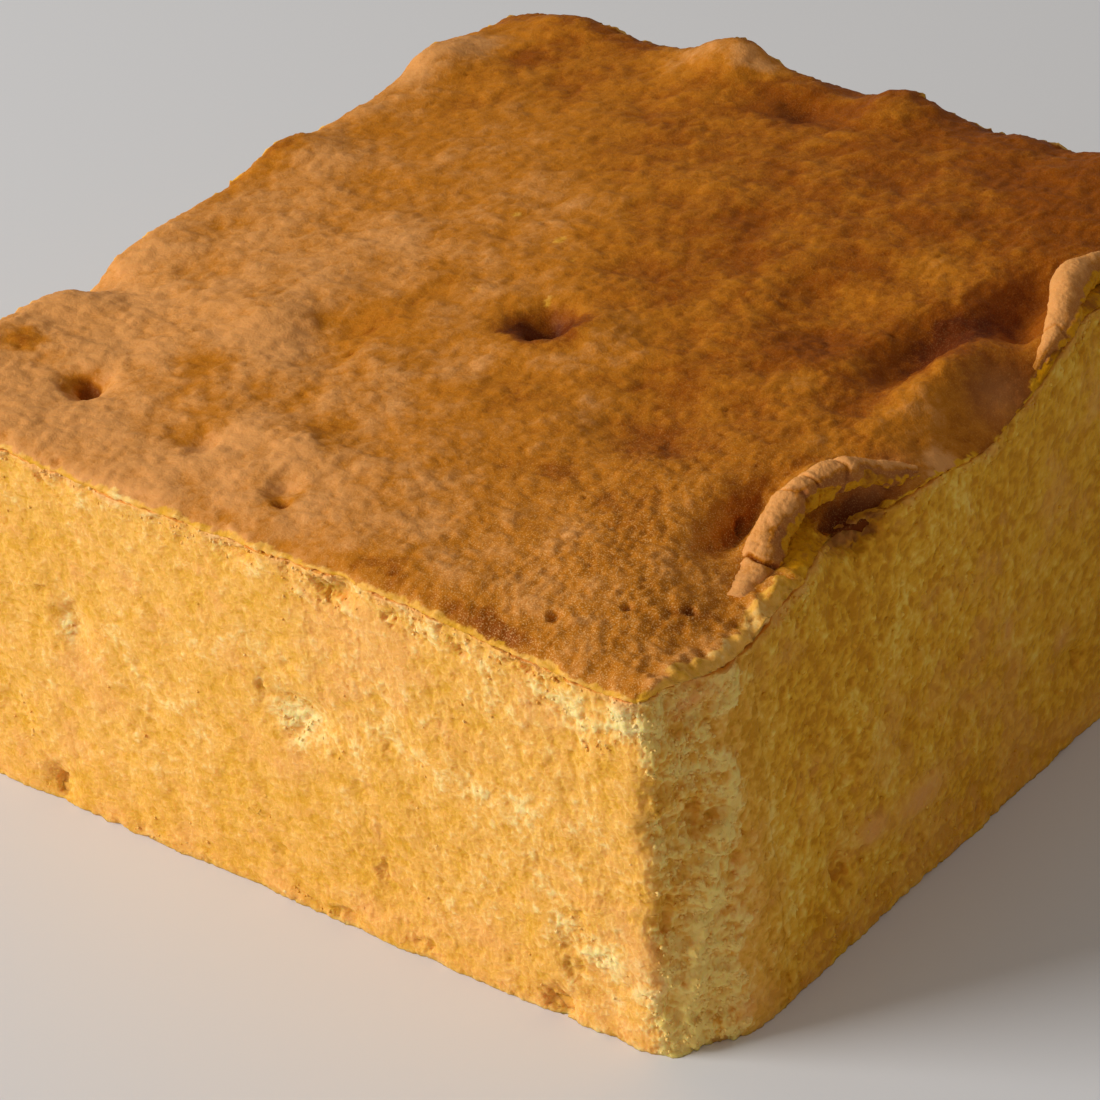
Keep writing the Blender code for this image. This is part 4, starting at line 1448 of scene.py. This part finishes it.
# %% [markdown]
# ## The base
#
# The bottom took its own light crust from the tin.  The walls are open below, and a single flat face
# would close them, but it would look like card beside the crumb.  So it is a slab with slow waves, which
# fills the space inside their foot.

# %% The slab
BASE_INSET = 1.2
BASE_THICKNESS = 2.5
base_line = stations(-HALF + BASE_INSET, ((HALF - BASE_INSET, 60),))
base_x, base_y = np.meshgrid(base_line, base_line, indexing="ij")
slab = shape(base_x, base_y, np.zeros_like(base_x))
slab[..., 2] = 0.1 + 0.1 * noise(slab, 3.0, 601)
slab_loop = slab.reshape(-1, 3)[border(*slab.shape[:2])]
upper_loop = slab_loop + (0, 0, BASE_THICKNESS)
points, quads, fan = closed_body(slab, [upper_loop], (0.0, 0.0, BASE_THICKNESS + 0.1))
even = np.ones(slab[..., 0].size)
marks = {"tone": 0.4 * even, "toast": 0.8 * even, "baked_and_shaded": 0.6 * even, "soft": 0.6 * even}
add_piece("base", points, quads, fan, crumb, marks)

# %% [markdown]
# ## Table, light and camera
#
# A pale table, one large soft light from the left and a dim even sky: the front is bright, the top shows
# its dents, and the right side lives on what the table and the sky give back.  The table isn't part of the
# cake.

# %% Table
def add_table():
    """A flat square, far larger than the cake."""
    reach = 3.0
    corners = [(-reach, -reach, 0), (reach, -reach, 0), (reach, reach, 0), (-reach, reach, 0)]
    mesh = bpy.data.meshes.new("table")
    mesh.from_pydata(corners, [], [(0, 1, 2, 3)])
    table = bpy.data.objects.new("table", mesh)
    bpy.context.scene.collection.objects.link(table)
    material, _, shader, _ = new_material("table_top")
    shader.inputs["Base Color"].default_value = colour(0.70, 0.712, 0.725)
    shader.inputs["Roughness"].default_value = 0.7
    mesh.materials.append(material)


add_table()

# %% Light
KEY_FROM = Vector((-1.29, -1.24, 0.94))
KEY_AT = Vector((0.0, 0.0, 0.04))
KEY_SIZE = 0.95
KEY_POWER = 40.5
key_light = bpy.data.lights.new("key", "AREA")
key_light.shape = "SQUARE"
key_light.size = KEY_SIZE
key_light.energy = KEY_POWER
key_light.color = (1.0, 0.98, 0.97)
key = bpy.data.objects.new("key", key_light)
key_turn = (KEY_AT - KEY_FROM).to_track_quat("-Z", "Y").to_matrix().to_4x4()
key.matrix_world = Matrix.Translation(KEY_FROM) @ key_turn
bpy.context.scene.collection.objects.link(key)

world = bpy.data.worlds.new("sky")
world.use_nodes = True
world.node_tree.nodes["Background"].inputs["Color"].default_value = colour(1.0, 0.94, 0.88)
world.node_tree.nodes["Background"].inputs["Strength"].default_value = 0.30
bpy.context.scene.world = world
bpy.context.scene.view_settings.view_transform = "Standard"
print("light from", KEY_FROM[:], "towards", KEY_AT[:])

# %% [markdown]
# The camera looks down on the corner where the front meets the right side, from near enough that the far
# corners draw together.  It is tipped a little, as one held in the hand is.

# %% Camera
def turned(pitch, roll, azimuth):
    """Camera axes for a look down by pitch, with the picture rolled, from an azimuth, all in degrees."""
    pitch, roll, azimuth = np.radians([pitch, roll, azimuth])
    right = Vector((np.sin(azimuth), np.cos(azimuth), 0))
    level_ahead = Vector((-np.cos(azimuth), np.sin(azimuth), 0))
    ahead = level_ahead * np.cos(pitch) - Vector((0, 0, 1)) * np.sin(pitch)
    up = right.cross(ahead)
    return right * np.cos(roll) + up * np.sin(roll), up * np.cos(roll) - right * np.sin(roll), -ahead


PITCH = 32.038
ROLL = -8.673
AZIMUTH = 45.525
CAMERA_AT = Vector((0.35821, -0.37787, 0.34788))       # seen from the middle of the tin, in metres
camera_data = bpy.data.cameras.new("camera")
camera_data.lens = 128.403
camera_data.sensor_width = 36.0
camera_data.sensor_fit = "HORIZONTAL"
camera = bpy.data.objects.new("camera", camera_data)
camera.matrix_world = Matrix(turned(PITCH, ROLL, AZIMUTH)).transposed().to_4x4()
camera.matrix_world.translation = CAMERA_AT - Vector(BOX_MIDDLE * MM)
bpy.context.scene.collection.objects.link(camera)
bpy.context.scene.camera = camera
print("camera at", camera.matrix_world.translation[:])
